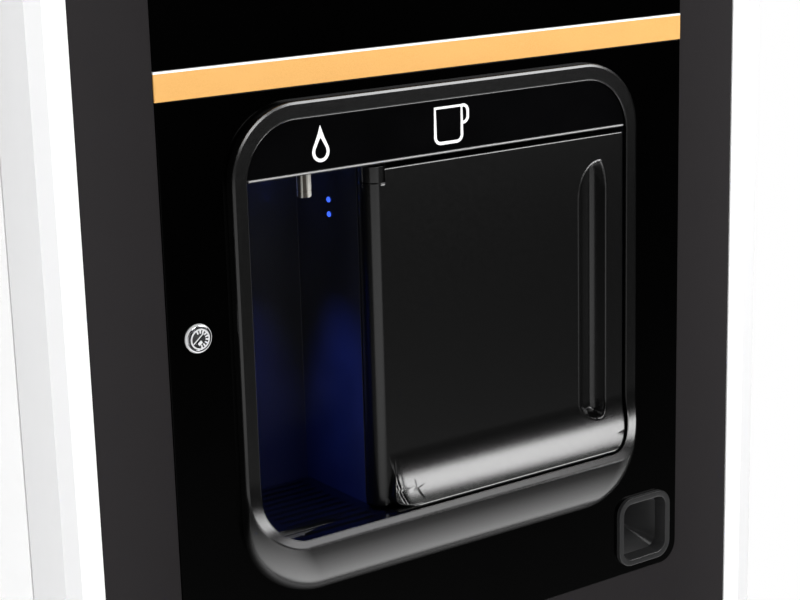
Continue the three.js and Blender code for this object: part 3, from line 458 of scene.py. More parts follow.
MATERIALS = {
    "grey_paint": powder_coat("grey_powder_coat", (0.72, 0.72, 0.725)),
    "white_paint": powder_coat("white_powder_coat", (0.9, 0.9, 0.9), 0.38),
    "charcoal_paint": charcoal_paint("charcoal_paint"),
    "gloss_black": gloss_black("gloss_black_acrylic"),
    "icon_black": icon_black("icon_panel_acrylic"),
    "gold_paint": gold_lacquer("gold_lacquer"),
    "satin_black": satin_black("satin_black_moulding"),
    "niche_black": niche_black("niche_lining_plastic"),
    "black_plastic": moulded_plastic("black_plastic_grain", (0.02, 0.02, 0.021), 0.5),
    "reader_plastic": moulded_plastic("reader_plastic_grain", (0.01, 0.01, 0.011), 0.25),
    "dark_grey_plastic": satin_black("coin_cup_moulding", (0.02, 0.02, 0.0205), 0.3, 0.7),
    "trim_silver": moulded_plastic("trim_lacquer", (0.4, 0.4, 0.4), 0.3),
    "silver_paint": moulded_plastic("silver_lacquer", (0.62, 0.62, 0.63), 0.3),
    "white_plastic": moulded_plastic("white_plastic_grain", (0.78, 0.78, 0.76), 0.42),
    "clear_plastic": clear_plastic("clear_polycarbonate"),
    "display_glass": gloss_black("display_glass"),
    "display_light": lit_plastic("display_tile_light", (0.2, 0.2, 0.21), (0.75, 0.8, 0.9), 0.35),
    # White print that glows a little from its emission, a painted glow; on the gold stripe's top edge it is
    # a painted highlight.
    "white_print_and_painted_glow": lit_plastic("white_print_ink", (0.9, 0.9, 0.9), (1, 1, 1), 0.12),
    "blue_lens": lit_plastic("blue_diffuser", (0.05, 0.13, 0.9), (0.08, 0.2, 1.0), 6),
    # Small glowing blue dots: painted reflections of blue lights, not lamps.
    "painted_glint_blue": lit_plastic("painted_blue_glint", (0.02, 0.06, 0.4), (0.05, 0.14, 1.0), 1.2),
    "chrome": bright_metal("polished_chrome", (0.8, 0.8, 0.82), 0.14),
    "satin_steel": satin_steel("satin_steel"),
    "stainless_steel": bright_metal("brushed_steel", (0.6, 0.6, 0.61), 0.26, (1, 1, 14), 0.4),
    "zinc_sheet": galvanised_sheet("galvanised_steel"),
    "brass": bright_metal("aged_brass", (0.6, 0.42, 0.17), 0.3),
    "rubber": moulded_rubber("moulded_rubber"),
}


# ---- Carried-over CAD nodes ----
def soften(node, width):
    """Welds a CAD node's facets into flat faces and rounds its edges."""
    weld = node.modifiers.new("weld", "WELD")
    weld.merge_threshold = 0.02 * MM
    flat = node.modifiers.new("flat faces", "DECIMATE")
    flat.decimate_type = "DISSOLVE"
    flat.angle_limit = math.radians(1.5)
    bevel = node.modifiers.new("rounded edges", "BEVEL")
    bevel.width = width * MM
    bevel.segments = 2
    bevel.limit_method = "ANGLE"
    bevel.angle_limit = math.radians(38)
    for face in node.data.polygons:
        face.use_smooth = True
    even_shading(node)


EDGE_WIDTHS = {
    "door_frame": 1.2, "upper_gloss_panel": 0.5, "lower_gloss_panel": 0.5, "icon_panel": 0.3,
    "bay_liner": 0.8, "drip_tray": 0.5, "drip_grille": 0.45, "cup_platform": 0.45,
    "cup_door_hinge_post": 0.6,
    "card_reader": 1.6, "coin_slot_plate": 1.0, "coin_return_button": 0.8, "touch_display": 0.3,
    "left_side_panel": 0.7, "right_side_panel": 0.7, "top_panel": 1.4, "rear_panel": 0.5,
    "base_frame": 0.8,
    "canister_1": 1.2, "canister_2": 1.2, "bean_hopper": 1.4, "brew_unit": 1.6, "grinder": 1.5,
    "waste_bucket": 1.4, "control_box": 1.0, "boiler": 1.5, "water_pump": 1.0, "coin_box": 0.7,
    "coin_mechanism": 1.5, "dispense_carriage": 0.8, "hopper_lid": 0.9, "power_inlet": 0.8,
}
DEFAULT_EDGE = 0.4
PLAIN_NODES = ("auger_1", "auger_2")
# Three nodes look different from the rest of their material slot.
OWN_LOOKS = {"icon_panel": "icon_black", "bay_liner": "niche_black", "drip_tray": "niche_black"}


def finish_cad_nodes():
    for entry in RECORD["subparts"]:
        node = NODES[entry["node"]]
        slot = OWN_LOOKS.get(entry["node"], entry["material_slot"])
        node.data.materials.clear()
        node.data.materials.append(MATERIALS[slot])
        if entry["node"] not in PLAIN_NODES:
            soften(node, EDGE_WIDTHS.get(entry["node"], DEFAULT_EDGE))


# ---- The bay's bezel ----
def bay_outline(half_width, top, bottom, top_radius, bottom_radius):
    """A function that gives the point at (corner, share of its turn) on a rounded outline."""

    def point(corner, share):
        angle = (corner + share) * math.pi / 2
        radius = top_radius if corner < 2 else bottom_radius
        side = 1 if corner in (0, 3) else -1
        centre_z = top - radius if corner < 2 else bottom + radius
        return (
            side * (half_width - radius) + radius * math.cos(angle), centre_z + radius * math.sin(angle),
        )

    return point


def points_round(outline, corner_steps=20, side_steps=36, level_steps=10):
    points = []
    for corner in range(4):
        points += [outline(corner, step / corner_steps) for step in range(corner_steps + 1)]
        start, end = outline(corner, 1), outline((corner + 1) % 4, 0)
        steps = side_steps if corner in (1, 3) else level_steps
        for step in range(1, steps):
            share = step / steps
            points.append((start[0] + (end[0] - start[0]) * share, start[1] + (end[1] - start[1]) * share))
    return points


def reach_at(z):
    """How far the band and the cup door stand in front of the door's face at a height."""
    below = max(0, FLARE_START - z)
    return BAND + FLARE_RADIUS - math.sqrt(FLARE_RADIUS ** 2 - below ** 2)


def between(first, second, share):
    return tuple(a + (b - a) * share for a, b in zip(first, second))


def build_bezel():
    base = points_round(bay_outline(185.5, 157.5, -203, 54, 60))
    edge = points_round(bay_outline(184, 156.5, -160, 52, 36))
    inner = points_round(bay_outline(173, 144.5, -155, 41, 28))
    hole = points_round(bay_outline(177.9, 150.1, -160, 46, 33))
    clearance, ridge_width, ridge_drop = 0.3, 1.6, 0.42
    sections = []
    for start, rim, lip, back in zip(base, edge, inner, hole):
        rim_reach, lip_reach = reach_at(rim[1]), reach_at(lip[1])
        section = []
        flank = rim_reach - ridge_drop - clearance
        for step in range(13):
            turn = math.radians(90 - 7.5 * step)
            x, z = between(rim, start, math.sin(turn))
            section.append(place(x, -clearance - flank * math.cos(turn), z))
        # A narrow sloping ridge runs round the outside. Then comes the flat band, and a fine inner bead.
        width = math.dist(rim, lip)
        band = [(ridge_width / width, 0), (0.2, 0), (0.5, 0), (0.86, 0), (0.9, 0)]
        bead = [(0.93, 0.12), (0.96, 0.12), (0.98, 0.05), (1, 0.4)]
        for share, drop in band + bead:
            x, z = between(rim, lip, share)
            reach = rim_reach + (lip_reach - rim_reach) * share
            section.append(place(x, -reach + drop, z))
        section.append(place(lip[0], -lip_reach + 3, lip[1]))
        section.append(place(back[0], -lip_reach + 3.2, back[1]))
        section.append(place(back[0], -clearance, back[1]))
        sections.append(section)
    mesh = bmesh.new()
    add_loft(mesh, sections, ring=True)
    add_piece("bay_bezel_moulding", mesh, "main_door", "satin_black", ["bay_bezel"], sharp_degrees=10)


# ---- The cup door ----
def groove_inside(x, z):
    """How far a point lies inside the finger groove's outline, in millimetres; negative outside."""
    top_taper, bottom_taper = 27, 16
    taper, climb = top_taper, max(0, (z - GROOVE_TOP + top_taper) / top_taper)
    if z < GROOVE_BOTTOM + bottom_taper:
        taper, climb = bottom_taper, (GROOVE_BOTTOM + bottom_taper - z) / bottom_taper
    side = GROOVE_APEX - GROOVE_LEFT if x < GROOVE_APEX else GROOVE_RIGHT - GROOVE_APEX
    across = abs(x - GROOVE_APEX) / side
    out = math.hypot(across, climb)
    if out == 0:
        return side
    return (1 - out) * out / math.hypot(across / side, climb / taper)


def groove_depth_at(x, z):
    """A long slope from the left, a soft bottom and a steeper right side, inside a fine raised bead."""
    inside = groove_inside(x, z)
    bead = 0.4 * math.exp(-((inside + 0.8) / 0.55) ** 2)
    if inside <= 0:
        return -bead
    if x < GROOVE_DEEPEST:
        profile = math.sin(math.pi / 2 * (x - GROOVE_LEFT) / (GROOVE_DEEPEST - GROOVE_LEFT))
    else:
        profile = math.cos(math.pi / 2 * (x - GROOVE_DEEPEST) / (GROOVE_RIGHT - GROOVE_DEEPEST))
    into = min(1, inside / 6)
    return GROOVE_DEPTH * min(max(0, profile), math.sin(into * math.pi / 2)) - bead


def bow_left(z):
    """The left end of the swept foot, which spreads over the barrel like the bow of a boat."""
    narrow, spreading, corner = -131, -145.5, -146
    if z > FLARE_START:
        return CUP_DOOR_LEFT
    if z > narrow:
        return -62.5 + 4.7 * (FLARE_START - z) / (FLARE_START - narrow)
    if z > spreading:
        return -57.8 - 5.2 * ((narrow - z) / (narrow - spreading)) ** 1.15
    down = min(1, max(0, (corner - z) / (corner - CUP_DOOR_BOTTOM)))
    return -63 + 11 * (1 - math.sqrt(1 - down ** 2))


def crease_at(z):
    """Where the main crease runs: straight down, then curving off to the right."""
    return -56.6 + 3.8 * max(0, (-134 - z) / 18) ** 1.5


def short_crease_at(z):
    return -42.2 + 0.042 * max(0, -139.4 - z) ** 2


def front_at(x, z):
    """How far the cup door's front stands in front of the main door's face."""
    from_axis = x - CUP_DOOR_LEFT
    base = BAND
    if from_axis < 0:
        base = math.sqrt(max(0, BARREL_RADIUS ** 2 - from_axis ** 2)) - 3.5
    foot = reach_at(z) - BAND
    left, crease = bow_left(z), crease_at(z)
    if foot <= 0:
        return base
    if x <= left:
        return base - 0.3
    # A rounded edge, a cheek that faces left, and then the full sweep.
    rounding, cheek = 1.6, 0.72
    if x < left + rounding:
        share = cheek * math.sqrt(1 - (1 - (x - left) / rounding) ** 2)
    elif x < crease + 6:
        along = (x - left - rounding) / (crease + 6 - left - rounding)
        share = cheek + (1 - cheek) * math.sin(along * math.pi / 2)
    else:
        share = 1
    front = base + (reach_at(z) - base) * share
    fade = min(1, foot / 3)
    for offset, depth in ((0, 0.6), (-CREASE_GAP, 0.45)):
        front -= depth * fade * math.exp(-((x - crease - offset) / 0.5) ** 2)
    short_length = math.exp(-((z + 144) / 5.5) ** 4)
    return front - 0.5 * short_length * math.exp(-((x - short_crease_at(z)) / 0.55) ** 2)


def cup_door_columns(z):
    """x, y pairs across the door's front at a height, left to right."""
    # The first columns follow the left edge and the creases, so that these run smoothly down the door.
    start, crease, short_crease = bow_left(z), crease_at(z), short_crease_at(z)
    places = [start + offset for offset in (0, 0.05, 0.2, 0.45, 0.8, 1.2, 1.6)]
    marks = [start + 1.6]
    for middle in (crease - CREASE_GAP, crease, short_crease):
        marks += [middle + offset for offset in (-1.1, -0.75, -0.45, -0.2, 0, 0.2, 0.45, 0.75, 1.1)]
    marks.append(BOW_END)
    for here, following in zip(marks, marks[1:]):
        steps = 6 if following - here > 1 else 1
        places += [here + (following - here) * step / steps for step in range(1, steps + 1)]
    # The rest stand straight, and close together at the groove.
    margin = 3
    grid = [BOW_END, GROOVE_LEFT - margin, GROOVE_RIGHT + margin, CUP_DOOR_RIGHT - 2]
    squeeze = (right_end(z) - 2 - BOW_END) / (CUP_DOOR_RIGHT - 2 - BOW_END)
    for here, following, steps in zip(grid, grid[1:], (12, 66, 6)):
        for step in range(1, steps + 1):
            x = here + (following - here) * step / steps
            places.append(BOW_END + (x - BOW_END) * squeeze)
    # Where the foot's end crosses the creases, no column may fall back past its neighbour.
    for i in range(1, len(places)):
        places[i] = max(places[i], places[i - 1] + 0.02)
    return [(x, groove_depth_at(x, z) - front_at(x, z)) for x in places]


def right_end(z):
    """The door's right edge, rounded at its bottom corner."""
    radius = 24
    above = z - CUP_DOOR_BOTTOM
    if above >= radius:
        return CUP_DOOR_RIGHT
    return CUP_DOOR_RIGHT - radius + math.sqrt(radius ** 2 - (radius - above) ** 2)


def cup_door_heights():
    heights = [CUP_DOOR_BOTTOM + step for step in (0, 0.25, 0.6, 1, 1.6, 2.2, 2.8, 3.6, 4.6)]
    grid = [
        CUP_DOOR_BOTTOM + 4.6, GROOVE_BOTTOM - 3, FLARE_START + 3,
        GROOVE_TOP - 30, GROOVE_TOP + 3, CUP_DOOR_TOP - 2,
    ]
    for here, following, steps in zip(grid, grid[1:], (9, 30, 17, 46, 3)):
        heights += [here + (following - here) * step / steps for step in range(1, steps + 1)]
    return heights + [CUP_DOOR_TOP - step for step in (1.2, 0.5, 0.15, 0)]


def build_cup_door():
    """A solid lofted up the door's heights, with its hollow and the knuckle's notch cut away."""
    edge = 0.8
    # From the front to the right side, as (distance from the edge, distance behind the front) pairs.
    right_rounding = ((1.5, 0.05), (1.0, 0.2), (0.6, 0.5), (0.25, 1.0), (0.05, 1.6), (0, 2.2))
    sections = []
    for z in cup_door_heights():
        from_end = min(z - CUP_DOOR_BOTTOM, CUP_DOOR_TOP - z)
        inset = 0
        if from_end < edge:
            inset = edge - math.sqrt(edge ** 2 - (edge - from_end) ** 2)
        columns = cup_door_columns(z)
        section = [place(x, y + inset, z) for x, y in columns]
        last_y = columns[-1][1]
        end = right_end(z) - inset
        for from_edge, behind in right_rounding:
            section.append(place(end - from_edge, last_y + inset + behind, z))
        section.append(place(end, CUP_DOOR_BACK - 1, z))
        section.append(place(end - 1, CUP_DOOR_BACK, z))
        section.append(place(CUP_DOOR_LEFT, CUP_DOOR_BACK, z))
        sections.append(section)
    mesh = bmesh.new()
    add_loft(mesh, sections)
    door = add_object("cup_door_panel", mesh, 40)

    cutter_mesh = bmesh.new()
    add_box(
        cutter_mesh, place(CUP_DOOR_LEFT + 16, 0.5, CUP_DOOR_BOTTOM + 26),
        place(GROOVE_LEFT - 7, CUP_DOOR_BACK + 2, CUP_DOOR_TOP - 8),
    )
    cut_away(door, add_object("cup_door_hollow", cutter_mesh))
    # The notch for the knuckle is round in front and square behind.
    notch_low = CUP_DOOR_TOP - KNUCKLE_HEIGHT
    corner_mesh = bmesh.new()
    add_box(
        corner_mesh, place(CUP_DOOR_LEFT - 5, 3.5, notch_low),
        place(CUP_DOOR_LEFT + BARREL_RADIUS, CUP_DOOR_BACK + 2, CUP_DOOR_TOP + 2),
    )
    cut_away(door, add_object("cup_door_notch_corner", corner_mesh))
    round_mesh = bmesh.new()
    notch_radius = BARREL_RADIUS + 0.6
    axis = Matrix.Translation(place(CUP_DOOR_LEFT, 3.5, 0))
    add_turned(round_mesh, [(notch_radius, notch_low), (notch_radius, CUP_DOOR_TOP + 2)], axis, sides=64)
    cut_away(door, add_object("cup_door_notch_round", round_mesh))
    # The cuts leave an empty material slot behind, so the door's one material is set afresh.
    door.data.materials.clear()
    door.data.materials.append(MATERIALS["satin_black"])
    for face in door.data.polygons:
        face.material_index = 0
    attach(door, "cup_door")
    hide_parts("cup_door")


def build_cup_door_barrel():
    """The round edge that the cup door turns on: a tube with rounded ends along the door's left."""
    low, high = CUP_DOOR_BOTTOM, CUP_DOOR_TOP - KNUCKLE_HEIGHT
    rounding = 0.6
    radius = BARREL_RADIUS - 0.06
    profile = [
        (3.6, low), (radius - rounding, low), (radius - 0.3, low + 0.3), (radius, low + rounding),
        (radius, high - rounding), (radius - 0.3, high - 0.3), (radius - rounding, high), (3.6, high),
    ]
    axis = Matrix.Translation(place(CUP_DOOR_LEFT, 3.5, 0))
    mesh = bmesh.new()
    add_turned(mesh, profile, axis, sides=64)
    add_piece("cup_door_barrel", mesh, "cup_door", "satin_black")


# ---- Pictograms ----
def add_line(mesh_source, points, width, front, back, closed=True):
    """A flat printed line through (x, z) points in the door's plane."""
    count = len(points)
    sections = []
    for i, (x, z) in enumerate(points):
        before = points[i - 1] if closed or i > 0 else points[i]
        after = points[(i + 1) % count] if closed or i < count - 1 else points[i]
        direction = Vector((after[0] - before[0], after[1] - before[1])).normalized()
        side = Vector((-direction.y, direction.x)) * width / 2
        sections.append([
            place(x + side.x, front, z + side.y), place(x - side.x, front, z - side.y),
            place(x - side.x, back, z - side.y), place(x + side.x, back, z + side.y),
        ])
    add_loft(mesh_source, sections, ring=closed)


def arc(centre_x, centre_z, radius, start, end, steps):
    points = []
    for step in range(steps + 1):
        angle = math.radians(start + (end - start) * step / steps)
        points.append((centre_x + radius * math.cos(angle), centre_z + radius * math.sin(angle)))
    return points


def drop_points(centre_x, centre_z, radius, tip_z, hollow):
    """A drop: a round bowl whose sides sweep up to a point; hollow says how far they curve inward."""
    points = arc(centre_x, centre_z, radius, 165, 375, 28)
    start_x, start_z = points[-1][0] - centre_x, points[-1][1]
    shares = [step / 10 for step in range(1, 10)]
    side = [(start_x * (1 - share) ** hollow + 0.3, start_z + (tip_z - start_z) * share) for share in shares]
    points += [(centre_x + x, z) for x, z in side]
    points.append((centre_x, tip_z))
    points += [(centre_x - x, z) for x, z in reversed(side)]
    return points


def add_drop(mesh_source, centre_x, centre_z, front, back):
    """A printed drop whose outline thins out toward its tip."""
    outside = drop_points(centre_x, centre_z, 7.2, centre_z + 18.9, 1.25)
    inside = drop_points(centre_x, centre_z, 4.8, centre_z + 9.8, 0.95)
    sections = [
        [place(x, front, z), place(hole_x, front, hole_z), place(hole_x, back, hole_z), place(x, back, z)]
        for (x, z), (hole_x, hole_z) in zip(outside, inside)
    ]
    add_loft(mesh_source, sections, ring=True)


def mug_points(left, right, bottom, top):
    corner = (right - left) * 0.2
    points = [(left, top)]
    points += arc(left + corner, bottom + corner, corner, 180, 270, 8)
    points += arc(right - corner, bottom + corner, corner, 270, 360, 8)
    points.append((right, top))
    return points


def mug_handle_points(right, top, reach, drop):
    corner = reach * 0.75
    points = [(right, top)]
    points += arc(right + reach - corner, top - corner, corner, 90, 0, 6)
    points += arc(right + reach - corner, top - drop + corner, corner, 0, -90, 6)
    points.append((right, top - drop))
    return points


def build_pictograms():
    front = -5.25
    back = -4.8
    half_line = LINE_WIDTH / 2
    mesh = bmesh.new()
    add_drop(mesh, -110.9, 119.2, front, back)
    add_piece("drop_pictogram", mesh, "main_door", "white_print_and_painted_glow")
    mesh = bmesh.new()
    left, right, bottom, top = -12.3 + half_line, 14.3 - half_line, 111.3 + half_line, 139.6 - half_line
    add_line(mesh, mug_points(left, right, bottom, top), LINE_WIDTH, front, back)
    handle = mug_handle_points(right, top, 5.6, 12.6)
    add_line(mesh, handle, LINE_WIDTH, front - 0.02, back - 0.02, closed=False)
    add_piece("mug_pictogram", mesh, "main_door", "white_print_and_painted_glow")


# ---- The cam lock ----
def lock_matrix():
    low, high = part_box("lock_plug")
    plug_radius = 7.45
    x = (low.x + high.x) / 2 / MM
    z = (high.z - BAY_LEVEL) / MM
    return into_door(x, z - plug_radius)


def build_lock():
    front = (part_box("lock_cylinder")[0].y - DOOR_FACE) / MM
    matrix = lock_matrix()
    face = [
        (7.75, front + 0.5), (8.1, front + 0.05), (8.5, front), (9.1, front + 0.02), (9.5, front + 0.25),
        (9.5, 40), (7.75, 40),
    ]
    mesh = bmesh.new()
    add_turned_ring(mesh, face, matrix, 72)
    add_piece("lock_flange_face", mesh, "main_door", "chrome", ["lock_cylinder"])
    edge = [
        (9.5, front + 0.22), (9.75, front + 0.1), (10.2, front + 0.9), (10.35, front + 1.6),
        (10.35, -0.3), (9.5, -0.3),
    ]
    mesh = bmesh.new()
    add_turned_ring(mesh, edge, matrix, 72)
    add_piece("lock_flange_edge", mesh, "main_door", "silver_paint")


def add_turned_ring(mesh_source, profile, matrix, sides):
    """A solid of revolution with a hole through it: the profile is a closed loop."""
    sections = []
    for side in range(sides):
        angle = 2 * math.pi * side / sides
        sections.append([
            matrix @ (Vector((radius * math.cos(angle), radius * math.sin(angle), distance)) * MM)
            for radius, distance in profile
        ])
    add_loft(mesh_source, sections, ring=True)


def build_lock_face():
    """A ring, a fan of ticks and the bright lips of the keyhole, on the plug's face."""
    matrix = lock_matrix()
    centre = matrix.translation
    x, z = centre.x / MM, (centre.z - BAY_LEVEL) / MM
    face = (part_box("lock_plug")[0].y - DOOR_FACE) / MM
    mesh = bmesh.new()
    ring = [
        (6.3, face - 0.02), (6.5, face - 0.4), (7.2, face - 0.4), (7.42, face - 0.1),
        (7.42, face + 0.3), (6.3, face + 0.3),
    ]
    add_turned_ring(mesh, ring, matrix, 64)

    def add_slab(corners, height):
        bottom = [place(x + corner.x, face + 0.2, z + corner.y) for corner in corners]
        top = [place(x + corner.x, face - height, z + corner.y) for corner in corners]
        add_loft(mesh, [bottom, top])

    ticks, first, spacing = 9, 112, -24
    for tick in range(ticks):
        angle = math.radians(first + spacing * tick)
        along = Vector((math.cos(angle), math.sin(angle)))
        across = Vector((-along.y, along.x)) * 0.5
        inner, outer = along * 4.1, along * 6.5
        inner_half, outer_half = across * 0.8, across * 1.2
        add_slab([inner - inner_half, outer - outer_half, outer + outer_half, inner + inner_half], 0.3)
    slant = math.radians(40)
    along = Vector((math.cos(slant), math.sin(slant)))
    across = Vector((-along.y, along.x))
    for offset, start, end, half_width in ((1.25, -6.0, 4.4, 0.3), (-2.0, -3.6, -0.2, 1.0)):
        middle = across * offset
        near, far, half = middle + along * start, middle + along * end, across * half_width
        add_slab([near - half, far - half, far + half, near + half], 0.25)
    add_piece("lock_plug_ticks", mesh, "door_lock", "silver_paint")


# ---- The coin cup ----
def build_coin_cup():
    """A rim, straight walls, and behind them a funnel with creased sides that holds the coins."""
    low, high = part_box("coin_cup")
    centre_x = (low.x + high.x) / 2 / MM
    centre_z = ((low.z + high.z) / 2 - BAY_LEVEL) / MM
    front = (low.y - DOOR_FACE) / MM
    back = (high.y - DOOR_FACE) / MM
    half_width, half_height = (high.x - low.x) / 2 / MM, (high.z - low.z) / 2 / MM
    steps = 10

    def ring(left, right, bottom, top, radius, y):
        sides = (centre_x + left, centre_x + right, centre_z + bottom, centre_z + top)
        return [place(x, y, z) for x, z in rounded_outline(*sides, radius, steps)]

    def even(inset, y, corner=14):
        across, up = half_width - inset, half_height - inset
        return ring(-across, across, -up, up, max(3, corner - inset), y)

    sections = [
        even(3.4, back), even(3.4, -0.4), even(0, -0.4), even(0, front + 0.9), even(0.3, front + 0.25),
        even(0.9, front), even(4.6, front + 0.15), even(5.1, front + 0.45), even(5.5, front + 1.4),
        even(6.3, 8),
    ]
    mouth = (-half_width + 6.5, half_width - 6.5, -half_height + 6.5, half_height - 6.5, 7)
    floor = (-15, 4, -6, 12, 1.5)
    for share in (0.02, 0.3, 0.6, 0.9, 1):
        sections.append(ring(*between(mouth, floor, share), 8.2 + 26 * share))
    mesh = bmesh.new()
    add_loft(mesh, sections)
    add_piece("coin_cup_moulding", mesh, "main_door", "dark_grey_plastic", ["coin_cup"], sharp_degrees=30)


# ---- The trim line, the gold stripe and the white strips ----
def add_box_piece(name, low, high, slot, replaced=(), rounding=0):
    """A box on the main door, its edges rounded by that many millimetres."""
    mesh = bmesh.new()
    add_box(mesh, low, high)
    if rounding:
        bmesh.ops.bevel(mesh, geom=mesh.edges[:], offset=rounding * MM, segments=2, affect="EDGES")
    add_piece(name, mesh, "main_door", slot, replaced)


def build_trim():
    """The fine bright line under the icon panel, and the dark channel behind it."""
    low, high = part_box("icon_trim")
    line = (low.x, low.y, high.z - 0.95 * MM)
    add_box_piece("icon_trim_line", line, high, "trim_silver", ["icon_trim"], 0.2)
    channel = (low.x, low.y + 1 * MM, low.z)
    add_box_piece("icon_trim_channel", channel, (high.x, high.y, high.z - 1 * MM), "black_plastic")


def build_stripe():
    low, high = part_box("gold_stripe")
    seam = high.z - 1.5 * MM
    add_box_piece("gold_stripe_face", low, (high.x, high.y, seam), "gold_paint", ["gold_stripe"])
    # The top 1.5 mm is a separate white strip that glows a little: a painted highlight along the stripe's
    # upper edge.
    add_box_piece("gold_stripe_painted_highlight", (low.x, low.y, seam), high, "white_print_and_painted_glow")


def build_white_strips():
    """The strips sit tight against the door's grey edge."""
    snug = 0.35 * MM
    for side in ("left", "right"):
        low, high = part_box("white_strip_" + side)
        if side == "left":
            low.x -= snug
        else:
            high.x += snug
        name = "white_strip_" + side
        add_box_piece(name + "_face", low, high, "white_paint", [name], 0.12)


# ---- The bottle niche ----
def build_nozzle():
    low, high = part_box("bottle_nozzle")
    x, y = (low.x + high.x) / 2, (low.y + high.y) / 2
    height = (high.z - low.z) / MM
    profile = [
        (2.8, 14), (2.8, 0.4), (3.2, 0), (4.4, 0), (5.0, 0.5), (5.2, 1.2), (5.2, 4.2), (4.9, 4.5),
        (4.9, 4.9), (5.2, 5.2), (5.2, height), (1.0, height), (1.0, 14),
    ]
    mesh = bmesh.new()
    add_turned_ring(mesh, profile, Matrix.Translation((x, y, low.z)), 48)
    add_piece("nozzle_tube", mesh, "main_door", "satin_steel", ["bottle_nozzle"])


def build_niche_painted_glints():
    """Two small glowing blue dots on the side of the partition: painted reflections of blue lights, not
    lamps.
    """
    wall = -68.2
    turn = Matrix(((0, 0, 1), (1, 0, 0), (0, 1, 0))).to_4x4()
    mesh = bmesh.new()
    for y, z in ((52, 71), (52, 60)):
        axis = Matrix.Translation(place(wall, y, z)) @ turn
        add_turned(mesh, [(0.2, -1.2), (1.4, -1.1), (2.0, -0.5), (2.1, 0.1), (0.2, 0.1)], axis, 20)
    add_piece("niche_painted_glints", mesh, "main_door", "painted_glint_blue")


# ---- The upper door: display and payment ----
def build_display():
    low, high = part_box("touch_display")
    left, right = low.x / MM, high.x / MM
    bottom, top = (low.z - BAY_LEVEL) / MM, (high.z - BAY_LEVEL) / MM
    front = (low.y - DOOR_FACE) / MM - 0.12
    margin, gap, rows, columns_of_tiles = 18, 12, 4, 2
    header = 46
    width = (right - left - 2 * margin - (columns_of_tiles - 1) * gap) / columns_of_tiles
    height = (top - bottom - 2 * margin - header - (rows - 1) * gap) / rows
    mesh = bmesh.new()
    for row in range(rows):
        for column in range(columns_of_tiles):
            x = left + margin + column * (width + gap)
            z = bottom + margin + row * (height + gap)
            add_line(mesh, rounded_outline(x, x + width, z, z + height, 10, 6), 1.0, front, front + 0.3)
            middle_x, middle_z = x + width / 2, z + height / 2
            size = 20
            side = middle_x + size - 8
            mug = mug_points(middle_x - size, side, middle_z - size, middle_z + size)
            add_line(mesh, mug, 2.4, front, front + 0.3)
            handle = mug_handle_points(side, middle_z + size, 11, 22)
            add_line(mesh, handle, 2.4, front - 0.02, front + 0.28, closed=False)
    heading_left, heading_top = left + margin, top - margin - 12
    heading = rounded_outline(heading_left, heading_left + 90, heading_top - 12, heading_top, 5, 5)
    add_line(mesh, heading, 1.6, front, front + 0.3)
    add_piece("display_pictures", mesh, "main_door", "display_light")


def build_reader_details():
    low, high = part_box("card_reader")
    centre = (low.x + high.x) / 2 / MM
    bottom, top = (low.z - BAY_LEVEL) / MM, (high.z - BAY_LEVEL) / MM
    front = (low.y - DOOR_FACE) / MM
    mesh = bmesh.new()
    for ring in range(3):
        curve = arc(centre - 12, (bottom + top) / 2 + 20, 9 + 8 * ring, -42, 42, 12)
        add_line(mesh, curve, 2.2, front + 0.75, front + 1.2, closed=False)
    add_piece("reader_wave_mark", mesh, "main_door", "white_print_and_painted_glow")
    mesh = bmesh.new()
    for lamp in range(4):
        x = centre - 18 + 12 * lamp
        sides = (x - 2.5, x + 2.5, bottom + 34, bottom + 37)
        add_rounded_plate(mesh, *sides, 1.2, front - 0.35, front + 1, 0.3, 4)
    add_piece("reader_lamps", mesh, "main_door", "blue_lens")


# ---- Fixings on the back ----
def build_rear_screws():
    low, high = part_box("rear_panel")
    mesh = bmesh.new()
    columns_x = (low.x + 12 * MM, 0, high.x - 12 * MM)
    count = 7
    head = [(4.2, -0.3), (4.2, 0.5), (3.4, 1.2), (1.9, 1.45), (1.6, 0.8), (0.2, 0.8)]
    axes = Matrix(((1, 0, 0), (0, 0, 1), (0, -1, 0))).to_4x4()
    for x in columns_x:
        for row in range(count):
            z = low.z + 20 * MM + (high.z - low.z - 40 * MM) * row / (count - 1)
            if x == 0 and 0 < row < count - 1:
                continue
            add_turned(mesh, head, Matrix.Translation((x, high.y, z)) @ axes, 24)
    add_piece("rear_screws", mesh, "cabinet", "chrome")


# ---- Stage, light and camera ----
def build_stage():
    """A pale floor, cut off where the main view looks past the machine."""
    mesh = bmesh.new()
    corners = [(-3, -3.2, 0), (1.42, -3.2, 0), (1.42, 3, 0), (-3, 3, 0)]
    mesh.faces.new([mesh.verts.new(corner) for corner in corners])
    floor = add_object("floor", mesh)
    floor.data.materials.append(stage_paint("pale_floor", (0.93, 0.93, 0.93)))
    floor.visible_glossy = False


